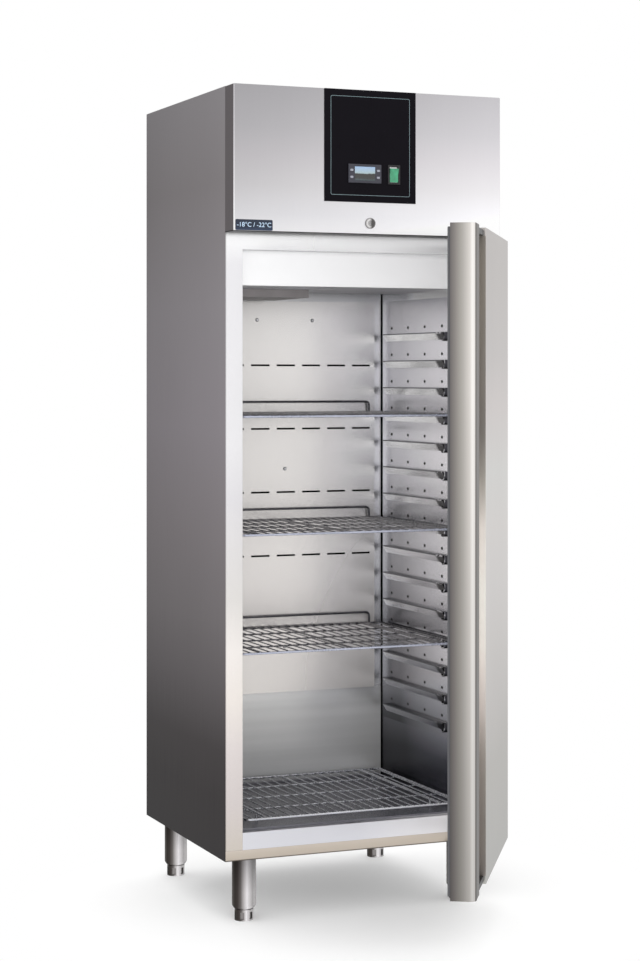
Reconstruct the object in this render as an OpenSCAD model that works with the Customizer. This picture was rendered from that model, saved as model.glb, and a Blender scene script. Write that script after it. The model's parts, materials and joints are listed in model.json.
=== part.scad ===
/* [Cabinet] */
// Width of the cabinet over its side panels
body_w = 710; // [680:10:780]
// Depth of the cabinet from the front frame to the back panel
body_d = 640; // [620:10:720]
// Height of the top edge above the floor
overall_h = 2030; // [1980:10:2100]
// Height of the bottom panel above the floor
leg_h = 155; // [140:5:175]
// Thickness of the steel sheet
sheet_t = 1.2; // [0.8:0.1:1.6]
// Thickness of an insulated side wall
side_wall = 50; // [44:1:60]
// Thickness of the insulated back wall
back_wall = 58; // [50:1:70]
// Thickness of the insulated floor
floor_wall = 71; // [68:1:80]
// Height of the machine bay above the insulated box
bay_h = 330; // [300:5:350]
// Thickness of the insulated ceiling
roof_wall = 64; // [56:1:70]

/* [Front frame] */
// Width of a jamb
jamb_w = 45; // [38:1:48]
// Depth of the frame's inward return
frame_return = 28; // [20:1:34]
// Height of the strip below the sill
plinth_h = 25; // [20:1:28]
// Height of the sill's front face
sill_h = 42; // [36:1:46]

/* [Fascia] */
// How far the fascia stands in front of the frame
fascia_out = 60; // [50:1:70]
// Height of the fascia
fascia_h = 354; // [346:2:370]
// Width of the black control plate
plate_w = 243; // [200:1:300]
// Height of the black control plate
plate_h = 275; // [230:1:300]
// Thickness of the control plate
plate_t = 2; // [1.5:0.5:3]
// Distance of the controller's centre left of the cabinet's middle
controller_off = 16; // [10:1:24]
// Width of the controller's face
controller_w = 87; // [80:1:90]
// Height of the controller's face
controller_h = 46; // [42:1:50]
// Depth of the controller's case behind the plate
controller_depth = 46; // [36:1:50]
// Width of the screen
screen_w = 54; // [46:1:58]
// Travel of a key
key_travel = 0.8; // [0.5:0.1:1.2]
// Distance of the switch's centre right of the cabinet's middle
switch_off = 62; // [58:1:72]
// Width of the switch's bezel
switch_w = 33; // [30:1:38]
// Height of the switch's bezel
switch_h = 48; // [44:1:52]
// Tilt of the rocker to each side of its middle
rocker_tilt = 9; // [6:1:12]
// Height of the lock's centre above the fascia's lower edge
lock_up = 28; // [24:1:34]
// Diameter of the lock's rim
lock_d = 27; // [24:1:32]
// Width of the temperature label
label_w = 95; // [80:1:110]
// Height of the temperature label
label_h = 26; // [20:1:28]

/* [Door] */
// Angle at which the door stands open
door_angle = 58.2; // [0:0.1:100]
// Distance from the front frame to the door's outer face
door_out = 70; // [60:1:76]
// Gap between the fascia and the top of the door
door_gap_top = 5; // [4.5:0.5:7]
// Height of the door's lower edge above the bottom panel
door_rise = 5; // [4:0.5:8]
// Gap at each side of the door
door_side_gap = 2; // [1:0.5:3]
// Distance from the front frame to the inner face of the door
seal_space = 8; // [7:0.5:10]
// Width of the grip lip along the free edge
lip_w = 70; // [50:1:90]
// Width of the grip recess
grip_w = 110; // [70:1:120]
// Depth of the grip recess
grip_depth = 30; // [20:1:34]
// Step from the door's face down to the lip
lip_step = 4; // [2:0.5:6]
// Radius of the lip's outer corner
lip_r = 12; // [8:1:16]
// Distance of the hinge axis from the cabinet's side
hinge_in = 14; // [13:1:18]
// Distance of the hinge axis in front of the frame
hinge_out = 22; // [20:1:26]
// Diameter of the hinge pin
pin_d = 10; // [8:1:12]

/* [Interior] */
// Number of pressed rails on each side
rail_count = 15; // [11:1:15]
// Height from one rail to the next
rail_pitch = 72.5; // [66:0.5:74]
// Height of the lowest rail above the cabinet floor
rail_low = 203; // [190:1:215]
// How far a rail stands out
rail_out = 13; // [10:1:15]
// Distance of a rail's back end from the back wall
rail_back = 42; // [24:2:92]
// Distance from the frame to the front end of a rail
rail_front = 150; // [130:5:160]
// Depth of a wire shelf
shelf_d = 530; // [500:5:535]
// Diameter of a shelf's rim wire
rim_d = 6; // [5:0.5:8]
// Diameter of a shelf's thin wire
wire_d = 3.2; // [2.4:0.2:4]
// Distance from one thin wire to the next
wire_pitch = 25; // [20:1:32]
// Height of the back stop above the shelf
stop_h = 30; // [20:1:36]
// Height of the wire grid above the cabinet floor
grid_h = 22; // [18:1:30]
// Distance of the air duct panel's sides from the side walls
duct_in = 26; // [18:1:50]
// Distance of the duct panel's face from the back wall
duct_out = 9; // [7:1:14]
// Distance of the duct panel's upper edge below the ceiling
duct_down = 104; // [90:2:164]
// Height of the duct panel's lower edge above the cabinet floor
duct_low = 246; // [230:1:260]
// Height of the white head panel
head_panel_h = 86; // [80:1:92]

/* [Cooling] */
// Diameter of the fan in the ceiling
evap_fan_d = 150; // [120:5:165]
// Diameter of the condenser's fan
cond_fan_d = 220; // [180:5:230]
// Diameter of the compressor's can
comp_d = 170; // [150:5:190]
// Height of the compressor's can
comp_h = 190; // [160:5:210]
// Diameter of the bore in the supply cord's gland
gland_bore = 10; // [8:0.5:12]

/* [Legs] */
// Diameter of a leg
leg_d = 59; // [50:1:64]
// Distance of a leg's centre from the side
leg_in_x = 66; // [50:1:80]
// Distance of a leg's centre from the front and the back
leg_in_y = 50; // [45:1:60]
// Height of the part of a foot that shows below its leg
foot_h = 30; // [24:1:40]

/* [Hidden] */
$fn = 48;

steel = [0.72, 0.72, 0.72];
dark_steel = [0.45, 0.45, 0.46];
zinc = [0.62, 0.63, 0.64];
foam_tint = [0.93, 0.87, 0.66];
white_tint = [0.94, 0.94, 0.95];
black_tint = [0.07, 0.07, 0.08];
copper = [0.72, 0.43, 0.26];

// Clearances: a running fit, a part that drops in, a moving part, and a hidden hair gap
run_gap = 0.05;
drop_gap = 1;
move_gap = 0.4;
eps = 0.01;

// Heights, all from the floor
bay_z = overall_h - bay_h;
floor_z = leg_h + floor_wall;
ceiling_z = bay_z - roof_wall;
plinth_z = leg_h + plinth_h;
sill_z = plinth_z + sill_h;
fascia_z = overall_h - fascia_h;
mid_x = body_w / 2;

// Insides of the walls
in_x0 = side_wall;
in_x1 = body_w - side_wall;
in_y1 = body_d - back_wall;
liner_t = 0.8;
liner_y0 = frame_return;

// Door, closed, in the cabinet's own directions
door_x0 = door_side_gap;
door_x1 = body_w - door_side_gap;
door_z0 = leg_h + door_rise;
door_z1 = fascia_z - door_gap_top;
door_yo = -door_out;
door_yi = -seal_space;
lip_y = door_yo + lip_step;
grip_x0 = door_x0 + lip_w;
grip_x1 = grip_x0 + grip_w;
grip_y = lip_y + grip_depth;
hinge_x = body_w - hinge_in;
hinge_y = -hinge_out;

// Fascia and controls
fascia_y = -fascia_out;
plate_y = fascia_y - plate_t;
controller_rim = 4;
controller_y = plate_y - controller_rim;
controller_x = mid_x - controller_off;
switch_x = mid_x + switch_off;
controls_z = overall_h - 205;
screen_h = 34;
case_w = 71;
case_h = 29;
key_size = [8, 5.5];
key_zs = [8, -9];
lock_z = fascia_z + lock_up;
lock_barrel_d = lock_d - 6;
cam_len = lock_up + door_gap_top + 17;
cam_w = 14;
cam_t = 3;
cam_y = fascia_y + 24;
cam_side = 3;
cam_x0 = mid_x - cam_w / 2 - cam_side;
cam_x1 = mid_x + cam_len;
slot_depth = cam_len - lock_up - door_gap_top + 4;

// Middle of the plan of the whole, with the door as it stands
function swing(p) = let (q = [p[0] - hinge_x, p[1] - hinge_y])
    [hinge_x + q[0] * cos(door_angle) - q[1] * sin(door_angle),
     hinge_y + q[0] * sin(door_angle) + q[1] * cos(door_angle)];
lip_mid = swing([door_x0 + lip_r, lip_y + lip_r]);
edge_far = swing([door_x1, door_yo]);
edge_in = swing([door_x0, door_yi]);
face_edge = swing([grip_x1, door_yo]);
all_x0 = min(0, lip_mid[0] - lip_r, edge_in[0]);
all_x1 = max(body_w, edge_far[0]);
all_y0 = min(-fascia_out - plate_t - controller_rim, lip_mid[1] - lip_r, edge_in[1], face_edge[1]);
all_y1 = body_d;
origin = [(all_x0 + all_x1) / 2, (all_y0 + all_y1) / 2];

// Interior furniture
rail_x = 1;
rail_z0 = floor_z + rail_low;
rail_len = in_y1 - rail_back - rail_front;
panel_over = 90;
rail_rows = min(rail_count, 1 + floor((ceiling_z - head_panel_h - panel_over - rail_z0) / rail_pitch));
lowest_shelf_rail = 3;
shelf_step = floor((rail_rows - lowest_shelf_rail) / 3);
shelf_rails = [for (k = [2 : -1 : 0]) lowest_shelf_rail + k * shelf_step];
shelf_gap = 4;
shelf_x0 = in_x0 + rail_x + shelf_gap;
shelf_x1 = in_x1 - rail_x - shelf_gap;
shelf_y1 = in_y1 - duct_out - 6;
shelf_y0 = shelf_y1 - shelf_d;
bar_in = 57;
duct_x0 = in_x0 + duct_in;
duct_w = in_x1 - in_x0 - 2 * duct_in;
duct_y = in_y1 - duct_out;
duct_z0 = floor_z + duct_low;
duct_h = ceiling_z - duct_down - duct_z0;
head_y = 20;
head_z = ceiling_z - head_panel_h;

module placed() translate([-origin[0], -origin[1], 0]) children();

module swung() placed() translate([hinge_x, hinge_y, 0]) rotate([0, 0, door_angle])
    translate([-hinge_x, -hinge_y, 0]) children();

// A box from one corner to the opposite one
module span(low, high) translate(low) cube(high - low);

// A cylinder along X or Y, starting at a point
module rod_x(d, len) rotate([0, 90, 0]) cylinder(d = d, h = len);
module rod_y(d, len) rotate([-90, 0, 0]) cylinder(d = d, h = len);

// A pipe through a list of points, with a square brazed fitting at each corner
module pipe(points, d) {
    fitting = 1.4 * d;
    back_off = 0.52 * d;
    last = len(points) - 2;
    for (i = [0 : last]) {
        u = (points[i + 1] - points[i]) / norm(points[i + 1] - points[i]);
        a = points[i] + (i > 0 ? back_off : 0) * u;
        b = points[i + 1] - (i < last ? back_off : 0) * u;
        translate(a) rotate([0, acos(u[2]), atan2(u[1], u[0])]) cylinder(d = d, h = norm(b - a));
        if (i > 0) translate(points[i]) cube(fitting, center = true);
    }
}

module side_panel() {
    bend = 14;
    span([0, 0, leg_h], [sheet_t, body_d, overall_h]);
    span([0, body_d - sheet_t, bay_z + sheet_t], [bend, body_d, overall_h]);
    span([0, 0, bay_z + sheet_t], [bend, sheet_t, overall_h]);
}
module left_side_panel() color(steel) placed() side_panel();
module right_side_panel() color(steel) placed() translate([body_w, 0, 0]) mirror([1, 0, 0]) side_panel();

module back_panel() color(zinc) placed()
    span([sheet_t, body_d - sheet_t, leg_h + sheet_t], [body_w - sheet_t, body_d, bay_z]);

module bottom_panel() color(zinc) placed() {
    span([sheet_t, 0, leg_h], [body_w - sheet_t, body_d, leg_h + sheet_t]);
    span([sheet_t, 0, leg_h], [body_w - sheet_t, sheet_t, plinth_z]);
}

// Two pipe passages go through the floor of the machine bay, above the coil's front tube
cover_y1 = in_y1 - 112;
evap_y0 = cover_y1 - 170;
evap_y1 = cover_y1 - 30;
header_d = 12;
header_y = evap_y0 - header_d / 2 + 1;
suction_in = 410;
capillary_in = 375;
suction_at = [body_w - suction_in, header_y];
capillary_at = [body_w - capillary_in, header_y];
passage_d = 16;
module passages(z0, z1) for (p = [suction_at, capillary_at])
    translate([p[0], p[1], z0]) cylinder(d = passage_d, h = z1 - z0);

module bay_floor() color(zinc) placed() difference() {
    span([sheet_t, 0, bay_z], [body_w - sheet_t, body_d, bay_z + sheet_t]);
    passages(bay_z - 1, bay_z + sheet_t + 1);
}

// Rows of cooling slots in a plate, with webs between them, as a set of cutters in the XY plane
module slots(w, h, rows, columns, web, slot_h, depth) {
    slot_w = w / columns - web;
    for (i = [0 : columns - 1], j = [0 : rows - 1])
        translate([(i - (columns - 1) / 2) * w / columns - slot_w / 2,
                   (j - (rows - 1) / 2) * h / rows - slot_h / 2, -depth / 2])
            cube([slot_w, slot_h, depth]);
}

module top_cover() color(steel) placed() difference() {
    span([sheet_t, sheet_t, overall_h - sheet_t], [body_w - sheet_t, body_d - sheet_t, overall_h]);
    translate([mid_x, body_d / 2 + 60, overall_h - sheet_t / 2])
        slots(body_w - 120, 300, 8, 4, 37.5, 8, 4 * sheet_t);
}

gland_x = 110;
gland_z = bay_z + 60;
gland_body_d = 24;
gland_len = 16;
module rear_grille() color(zinc) placed() difference() {
    span([sheet_t, body_d - 2 * sheet_t, bay_z + sheet_t],
         [body_w - sheet_t, body_d - sheet_t, overall_h - sheet_t]);
    translate([mid_x + 60, body_d - 1.5 * sheet_t, bay_z + bay_h / 2]) rotate([90, 0, 0])
        slots(body_w - 260, bay_h - 80, 9, 4, 17.5, 8, 4 * sheet_t);
    translate([gland_x, body_d - 4 * sheet_t, gland_z]) rod_y(gland_body_d, 8 * sheet_t);
}

module cabinet_insulation() color(foam_tint) placed() difference() {
    span([sheet_t, sheet_t, leg_h + sheet_t], [body_w - sheet_t, body_d - sheet_t, bay_z]);
    span([in_x0 - liner_t, liner_y0 - eps, floor_z - liner_t],
         [in_x1 + liner_t, in_y1 + liner_t, ceiling_z + liner_t]);
    span([jamb_w - sheet_t, -1, sill_z - sheet_t],
         [body_w - jamb_w + sheet_t, liner_y0 + liner_t, ceiling_z + sheet_t]);
    passages(ceiling_z - 1, bay_z + 1);
}

module inner_liner() color(steel) placed() difference() {
    union() {
        span([in_x0 - liner_t, liner_y0, floor_z - liner_t],
             [in_x1 + liner_t, in_y1 + liner_t, ceiling_z + liner_t]);
        span([jamb_w - sheet_t, liner_y0, sill_z - sheet_t],
             [body_w - jamb_w + sheet_t, liner_y0 + liner_t, ceiling_z + sheet_t]);
    }
    span([in_x0, liner_y0 - 1, floor_z], [in_x1, in_y1, ceiling_z]);
    passages(ceiling_z - 1, ceiling_z + liner_t + 1);
}

// One welded frame: two jambs and a head, each with an inward return
module front_frame() color(steel) placed() difference() {
    span([sheet_t, 0, plinth_z], [body_w - sheet_t, frame_return, bay_z]);
    span([-1, sheet_t, plinth_z - 1], [jamb_w - sheet_t, frame_return + 1, bay_z + 1]);
    span([body_w - jamb_w + sheet_t, sheet_t, plinth_z - 1], [body_w + 1, frame_return + 1, bay_z + 1]);
    span([jamb_w - sheet_t - eps, sheet_t, ceiling_z + sheet_t],
         [body_w - jamb_w + sheet_t + eps, frame_return + 1, bay_z + 1]);
    span([jamb_w - sheet_t - eps, sheet_t, plinth_z - 1],
         [body_w - jamb_w + sheet_t + eps, frame_return + 1, sill_z - sheet_t]);
    span([jamb_w, -1, plinth_z - 1], [body_w - jamb_w, frame_return + 1, ceiling_z]);
}

module sill() color(steel) placed() {
    span([jamb_w, 0, plinth_z], [body_w - jamb_w, sheet_t, sill_z]);
    span([jamb_w, 0, sill_z - sheet_t], [body_w - jamb_w, frame_return, sill_z]);
}

// A pressed rail: flat top, sloping underside, and a curled front end that stops a shelf
module rail() {
    curl_d = 32;
    curl_t = 3.5;
    ledge_t = 3;
    underside = 20;
    rotate([-90, 0, 0]) linear_extrude(height = rail_len)
        polygon([[0, 0], [rail_out, 0], [rail_out, ledge_t], [ledge_t, underside], [0, underside]]);
    difference() {
        translate([0, 0, -curl_d / 4]) rod_x(curl_d, rail_out);
        translate([-1, 0, -curl_d / 4]) rod_x(curl_d - 2 * curl_t, rail_out + 2);
        span([-1, curl_d / 4, -curl_d], [rail_out + 1, curl_d, -ledge_t]);
        span([-1, -curl_d, 0], [rail_out + 1, curl_d, curl_d]);
    }
}

panel_y0 = rail_front - 60;
panel_z0 = rail_z0 - 40;
panel_z1 = rail_z0 + (rail_rows - 1) * rail_pitch + panel_over;
panel_y1 = min(rail_front + rail_len + 30, in_y1 - drop_gap);
module rail_panel() {
    hole_up = 16;
    hole_d = 5;
    hole_count = 4;
    hole_pitch = (rail_len - 60) / (hole_count - 1);
    difference() {
        span([in_x0, panel_y0, panel_z0], [in_x0 + rail_x, panel_y1, panel_z1]);
        for (k = [0 : rail_rows - 1], j = [0 : hole_count - 1])
            translate([in_x0 - 1, rail_front + 30 + j * hole_pitch, rail_z0 + k * rail_pitch + hole_up])
                rod_x(hole_d, rail_x + 2);
    }
    for (k = [0 : rail_rows - 1])
        translate([in_x0 + rail_x - eps, rail_front, rail_z0 + k * rail_pitch]) rail();
}
module left_rail_panel() color(steel) placed() rail_panel();
module right_rail_panel() color(steel) placed() translate([body_w, 0, 0]) mirror([1, 0, 0]) rail_panel();

duct_rows = 4;
slots_per_row = 7;
duct_slot_h = 5;
duct_slot_web = 20.5;
duct_slot_edge = 14;
duct_slot_pitch = (duct_w - 43) / slots_per_row;
duct_slot_w = duct_slot_pitch - duct_slot_web;
pattern_x = mid_x + 15;
duct_row_low = 368;
duct_row_top = 176;
duct_row_pitch = (duct_h - duct_row_low - duct_row_top) / (duct_rows - 1);
screw_side = 80;
screw_top = duct_h - 51;
screw_at = [[-screw_side, screw_top], [screw_side, screw_top],
            [0, duct_row_low + 1.5 * duct_row_pitch - 20], [0, 123]];
screw_d = 5;
screw_head_d = 10;
module rear_duct() color([0.84, 0.84, 0.82]) placed() difference() {
    span([duct_x0, duct_y, duct_z0], [duct_x0 + duct_w, in_y1, duct_z0 + duct_h]);
    span([duct_x0 + sheet_t, duct_y + sheet_t, duct_z0 + sheet_t],
         [duct_x0 + duct_w - sheet_t, in_y1 + 1, duct_z0 + duct_h + 1]);
    for (j = [0 : duct_rows - 1], i = [0 : slots_per_row - 1])
        translate([duct_x0 + duct_w - duct_slot_edge - duct_slot_w - i * duct_slot_pitch, duct_y - 1,
                   duct_z0 + duct_row_low + j * duct_row_pitch])
            cube([duct_slot_w, sheet_t + 2, duct_slot_h]);
    for (p = screw_at)
        translate([pattern_x + p[0], duct_y - 1, duct_z0 + p[1]]) rod_y(screw_d + 0.6, sheet_t + 2);
}

module duct_screws() color(zinc) placed() for (p = screw_at)
    translate([pattern_x + p[0], duct_y, duct_z0 + p[1]]) {
        rotate([90, 0, 0]) cylinder(d1 = screw_head_d, d2 = screw_head_d - 4, h = 2.4);
        rod_y(screw_d, duct_out - 0.3);
    }

// A welded wire grid: a rim, cross wires, thin wires from front to back, and thicker bars
cross_count = 3;
module wire_grid(x0, x1, y0, y1, z) {
    bar_d = rim_d;
    first = (x1 + x0) / 2 - wire_pitch * floor((x1 - x0 - 2 * rim_d) / 2 / wire_pitch);
    top = z - rim_d / 2 + wire_d / 2 + 0.8;
    for (y = [y0 + rim_d / 2, y1 - rim_d / 2]) translate([x0, y, z - rim_d / 2]) rod_x(rim_d, x1 - x0, $fn = 8);
    for (x = [x0 + rim_d / 2, x1 - rim_d / 2]) translate([x, y0, z - rim_d / 2]) rod_y(rim_d, y1 - y0, $fn = 8);
    for (k = [1 : cross_count])
        translate([x0 + 1, y0 + (y1 - y0) * k / (cross_count + 1), z - rim_d / 2 - 0.8])
            rod_x(wire_d + 1, x1 - x0 - 2, $fn = 8);
    for (x = [x0 + bar_in, (x0 + x1) / 2, x1 - bar_in])
        translate([x, y0 + 1, z - rim_d / 2]) rod_y(bar_d, y1 - y0 - 2, $fn = 8);
    for (x = [first : wire_pitch : x1 - rim_d * 1.5])
        if (min(abs(x - x0 - bar_in), abs(x - (x0 + x1) / 2), abs(x - x1 + bar_in)) > rim_d)
            translate([x, y0 + 1, top]) rod_y(wire_d, y1 - y0 - 2, $fn = 8);
}

module shelf(rail) {
    z = rail_z0 + rail * rail_pitch + rim_d;
    stop_in = 38;
    wire_grid(shelf_x0, shelf_x1, shelf_y0, shelf_y1, z);
    for (x = [shelf_x0 + stop_in, shelf_x1 - stop_in])
        translate([x, shelf_y1 - rim_d / 2, z - rim_d / 2]) cylinder(d = rim_d, h = stop_h, $fn = 8);
    translate([shelf_x0 + stop_in - rim_d / 2, shelf_y1 - rim_d / 2, z - rim_d / 2 + stop_h])
        rod_x(rim_d, shelf_x1 - shelf_x0 - 2 * stop_in + rim_d, $fn = 8);
}
module upper_shelf() color(zinc) placed() shelf(shelf_rails[0]);
module middle_shelf() color(zinc) placed() shelf(shelf_rails[1]);
module lower_shelf() color(zinc) placed() shelf(shelf_rails[2]);

grid_side = 12;
grid_front = 26;
module floor_grid() color(zinc) placed() {
    wire_grid(in_x0 + grid_side, in_x1 - grid_side, grid_front, shelf_y1, floor_z + grid_h);
    for (x = [in_x0 + grid_side + bar_in, in_x1 - grid_side - bar_in], y = [grid_front + 80, shelf_y1 - 80])
        translate([x, y, floor_z]) cylinder(d = rim_d, h = grid_h - rim_d / 2, $fn = 8);
}

module inner_head_panel() color(white_tint) placed() {
    t = 2;
    span([jamb_w + drop_gap, head_y, head_z], [body_w - jamb_w - drop_gap, head_y + t, ceiling_z]);
    span([in_x0 + drop_gap, head_y, head_z], [in_x1 - drop_gap, head_y + 16, head_z + t]);
}

// The ceiling unit: a cover with a fan hole, the coil behind it and a drip tray below it
cover_z = head_z + 2;
header_z = ceiling_z - 40;
evap_fan_x = mid_x - 90;
evap_fan_y = 150;
evap_fan_z = ceiling_z - 44;
ring_h = 16;
module evaporator_cover() color(dark_steel) placed() difference() {
    union() {
        span([in_x0 + drop_gap, head_y + 2, cover_z], [in_x1 - drop_gap, cover_y1, cover_z + sheet_t]);
        for (x = [in_x0 + drop_gap, in_x1 - drop_gap - sheet_t])
            span([x, head_y + 16, cover_z], [x + sheet_t, cover_y1, ceiling_z]);
        translate([evap_fan_x, evap_fan_y, cover_z]) cylinder(d = evap_fan_d + 14, h = ring_h);
    }
    translate([evap_fan_x, evap_fan_y, cover_z - 1]) cylinder(d = evap_fan_d + 10, h = ring_h + 2);
}

module evaporator_coil() color(zinc) placed() {
    x0 = in_x0 + 40;
    x1 = in_x1 - 40;
    z0 = cover_z + sheet_t;
    z1 = ceiling_z - 2;
    fins = 16;
    for (i = [0 : fins])
        translate([x0 + i * (x1 - x0 - 2) / fins, evap_y0, z0]) cube([2, evap_y1 - evap_y0, z1 - z0]);
    for (y = [evap_y0 + 35, evap_y0 + 105], z = [z0 + 24, z0 + 58])
        translate([x0 - 8, y, z]) rod_x(10, x1 - x0 + 16);
    translate([x0, header_y, header_z]) rod_x(header_d, x1 - x0);
    for (x = [x0 + 2, x1 - 20])
        span([x, evap_y0 + 10, z1 - 2], [x + 16, evap_y1 - 10, ceiling_z]);
}

shaft_d = 6;
module evaporator_fan_motor() color(black_tint) placed() {
    motor_d = 44;
    translate([evap_fan_x, evap_fan_y, evap_fan_z + 12]) cylinder(d = motor_d, h = ceiling_z - evap_fan_z - 16);
    translate([evap_fan_x, evap_fan_y, evap_fan_z - 6]) cylinder(d = shaft_d, h = 20);
    for (a = [0, 90])
        translate([evap_fan_x, evap_fan_y, ceiling_z - 4]) rotate([0, 0, a])
            translate([-evap_fan_d / 2, -8, 0]) cube([evap_fan_d, 16, 4]);
}

// Fan blades round a hub with a shaft hole, axis along Z
module fan_wheel(d, hub_d, hub_h, blades, blade_t, tilt) {
    difference() {
        union() {
            cylinder(d = hub_d, h = hub_h);
            for (i = [0 : blades - 1]) rotate([0, 0, i * 360 / blades])
                translate([hub_d / 2 - 3, 0, hub_h / 2]) rotate([tilt, 0, 0])
                    linear_extrude(height = blade_t, center = true)
                        polygon([[0, -hub_d * 0.22], [0, hub_d * 0.22],
                                 [d / 2 - hub_d / 2 - 4, d * 0.15], [d / 2 - hub_d / 2 + 1, 0],
                                 [d / 2 - hub_d / 2 - 4, -d * 0.15]]);
        }
        translate([0, 0, -1]) cylinder(d = shaft_d + 2 * run_gap, h = hub_h + 2);
    }
}

module evaporator_fan() color(dark_steel) placed()
    translate([evap_fan_x, evap_fan_y, evap_fan_z - 6]) fan_wheel(evap_fan_d, 48, 14, 5, 2, 22);

tray_z = cover_z - 20;
module drip_tray() color(dark_steel) placed() difference() {
    wall = 1.5;
    low = [in_x0 + 8, cover_y1 - 190, tray_z];
    high = [mid_x - 29, cover_y1 + 60, cover_z];
    span(low, high);
    span(low + [wall, wall, wall], high + [-wall, -wall, 1]);
}

// Machine bay: compressor at the left, condenser and its fan at the right
comp_in = 520;
comp_x = body_w - comp_in;
comp_y = body_d - 260;
mount_h = 20;
mount_d = 26;
comp_z = bay_z + sheet_t + mount_h;
comp_foot = 78;
comp_base = 95;
comp_base_t = 4;
mount_stem_d = 8;
module compressor() color(black_tint) placed() {
    dome_h = 34;
    box_out = 28;
    translate([comp_x, comp_y, comp_z]) difference() {
        span([-comp_base, -comp_base, 0], [comp_base, comp_base, comp_base_t]);
        for (x = [-comp_foot, comp_foot], y = [-comp_foot, comp_foot])
            translate([x, y, -1]) cylinder(d = mount_stem_d + 1, h = comp_base_t + 2);
    }
    translate([comp_x, comp_y, comp_z + comp_base_t - 0.1]) rotate_extrude($fn = 64)
        polygon([[0, 0], [comp_d / 2 - 6, 0], [comp_d / 2, 8], [comp_d / 2, comp_h - dome_h],
                 [comp_d / 2 - 10, comp_h - 14], [comp_d / 4, comp_h], [0, comp_h]]);
    translate([comp_x + comp_d / 2 - 6, comp_y - 30, comp_z + 60]) cube([box_out + 6, 60, 60]);
}

module compressor_mounts() color([0.12, 0.12, 0.12]) placed()
    for (x = [-comp_foot, comp_foot], y = [-comp_foot, comp_foot])
        translate([comp_x + x, comp_y + y, bay_z + sheet_t]) {
            cylinder(d = mount_d, h = mount_h);
            cylinder(d = mount_stem_d, h = mount_h + comp_base_t + 4);
        }

coil_w = 270;
coil_h = 290;
coil_x1 = body_w - 45;
coil_x0 = coil_x1 - coil_w;
coil_y1 = body_d - 50;
coil_y0 = coil_y1 - 70;
coil_z0 = bay_z + sheet_t;
coil_z1 = coil_z0 + coil_h;
coil_mid = [(coil_x0 + coil_x1) / 2, (coil_z0 + coil_z1) / 2 + 5];
row_front = coil_y0 + 18;
row_back = coil_y0 + 52;
coil_tube_d = 9;
tube_end = 7;
tube_low = 25;
tube_step = 48;
shroud_y = coil_y0 - 30;
module condenser_coil() color(zinc) placed() {
    fins = 20;
    for (i = [0 : fins])
        translate([coil_x0 + i * (coil_w - 2) / fins, coil_y0, coil_z0]) cube([2, coil_y1 - coil_y0, coil_h]);
    for (k = [0 : 5], y = [row_front, row_back])
        translate([coil_x0 - tube_end, y, coil_z0 + tube_low + k * tube_step])
            rod_x(coil_tube_d, coil_w + 2 * tube_end);
    difference() {
        span([coil_x0, shroud_y, coil_z0], [coil_x1, coil_y0 + 1, coil_z1]);
        span([coil_x0 + 1.5, shroud_y + 1.5, coil_z0 + 1.5], [coil_x1 - 1.5, coil_y0 + 2, coil_z1 - 1.5]);
        translate([coil_mid[0], shroud_y - 1, coil_mid[1]]) rod_y(cond_fan_d + 12, 4);
    }
}

motor_y = shroud_y - 74;
module condenser_fan_motor() color(black_tint) placed() {
    translate([coil_mid[0], motor_y, coil_mid[1]]) {
        rod_y(80, 50);
        rod_y(shaft_d, 78);
    }
    for (s = [-1, 1])
        translate([coil_mid[0] - 8, motor_y + 20, coil_mid[1] + (s > 0 ? 38 : -138)]) {
            cube([16, 4, 100]);
            translate([0, 0, s > 0 ? 96 : 0]) cube([16, shroud_y - motor_y - 20, 4]);
        }
}

module condenser_fan() color(dark_steel) placed()
    translate([coil_mid[0], shroud_y - 2, coil_mid[1]]) rotate([90, 0, 0])
        fan_wheel(cond_fan_d, 56, 20, 5, 2, 20);

// The pipes: hot gas to the condenser, liquid through the drier, a capillary, and suction back
comp_top = comp_z + 120;
drier_d = 22;
drier_len = 84;
drier_y = capillary_at[1] + 60;
liquid_x = capillary_at[0];
liquid_z = coil_z0 + tube_low;
function on_can(off) = sqrt(pow(comp_d / 2, 2) - pow(off, 2)) - 6;
module refrigerant_pipes() color(copper) placed() {
    gas_x = comp_x + 30;
    gas_z = coil_z0 + tube_low + 5 * tube_step;
    suction_y = comp_y - 38;
    in_tube = coil_x0 - tube_end + 3;
    pipe([[gas_x, comp_y + on_can(gas_x - comp_x), comp_top], [gas_x, row_front, comp_top],
          [gas_x, row_front, gas_z], [in_tube, row_front, gas_z]], 8);
    pipe([[in_tube, row_back, liquid_z], [liquid_x, row_back, liquid_z],
          [liquid_x, drier_y + drier_len - 4, liquid_z]], 6);
    pipe([[liquid_x, drier_y + 4, liquid_z], [liquid_x, header_y, liquid_z],
          [liquid_x, header_y, header_z + 3]], 4);
    pipe([[comp_x + on_can(comp_y - suction_y), suction_y, comp_top],
          [suction_at[0], suction_y, comp_top], [suction_at[0], header_y, comp_top],
          [suction_at[0], header_y, header_z + 2]], 10);
}

module filter_drier() color(copper) placed() translate([liquid_x, drier_y, liquid_z]) {
    shoulder = 10;
    translate([0, shoulder, 0]) rod_y(drier_d, drier_len - 2 * shoulder);
    rotate([-90, 0, 0]) cylinder(d1 = drier_d / 2, d2 = drier_d, h = shoulder + eps);
    translate([0, drier_len - shoulder - eps, 0]) rotate([-90, 0, 0])
        cylinder(d1 = drier_d, d2 = drier_d / 2, h = shoulder + eps);
}

module electrical_box() color([0.75, 0.75, 0.73]) placed() {
    low = [body_w - 295, 70, bay_z + sheet_t];
    size = [190, 110, 140];
    lid = [4, 4, 0];
    span(low, low + size);
    span(low + [0, 0, size[2]] - lid, low + size + lid + [0, 0, 12]);
    for (x = [40, 90]) translate(low + [x, size[1], 40]) rod_y(20, 14);
}

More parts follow.
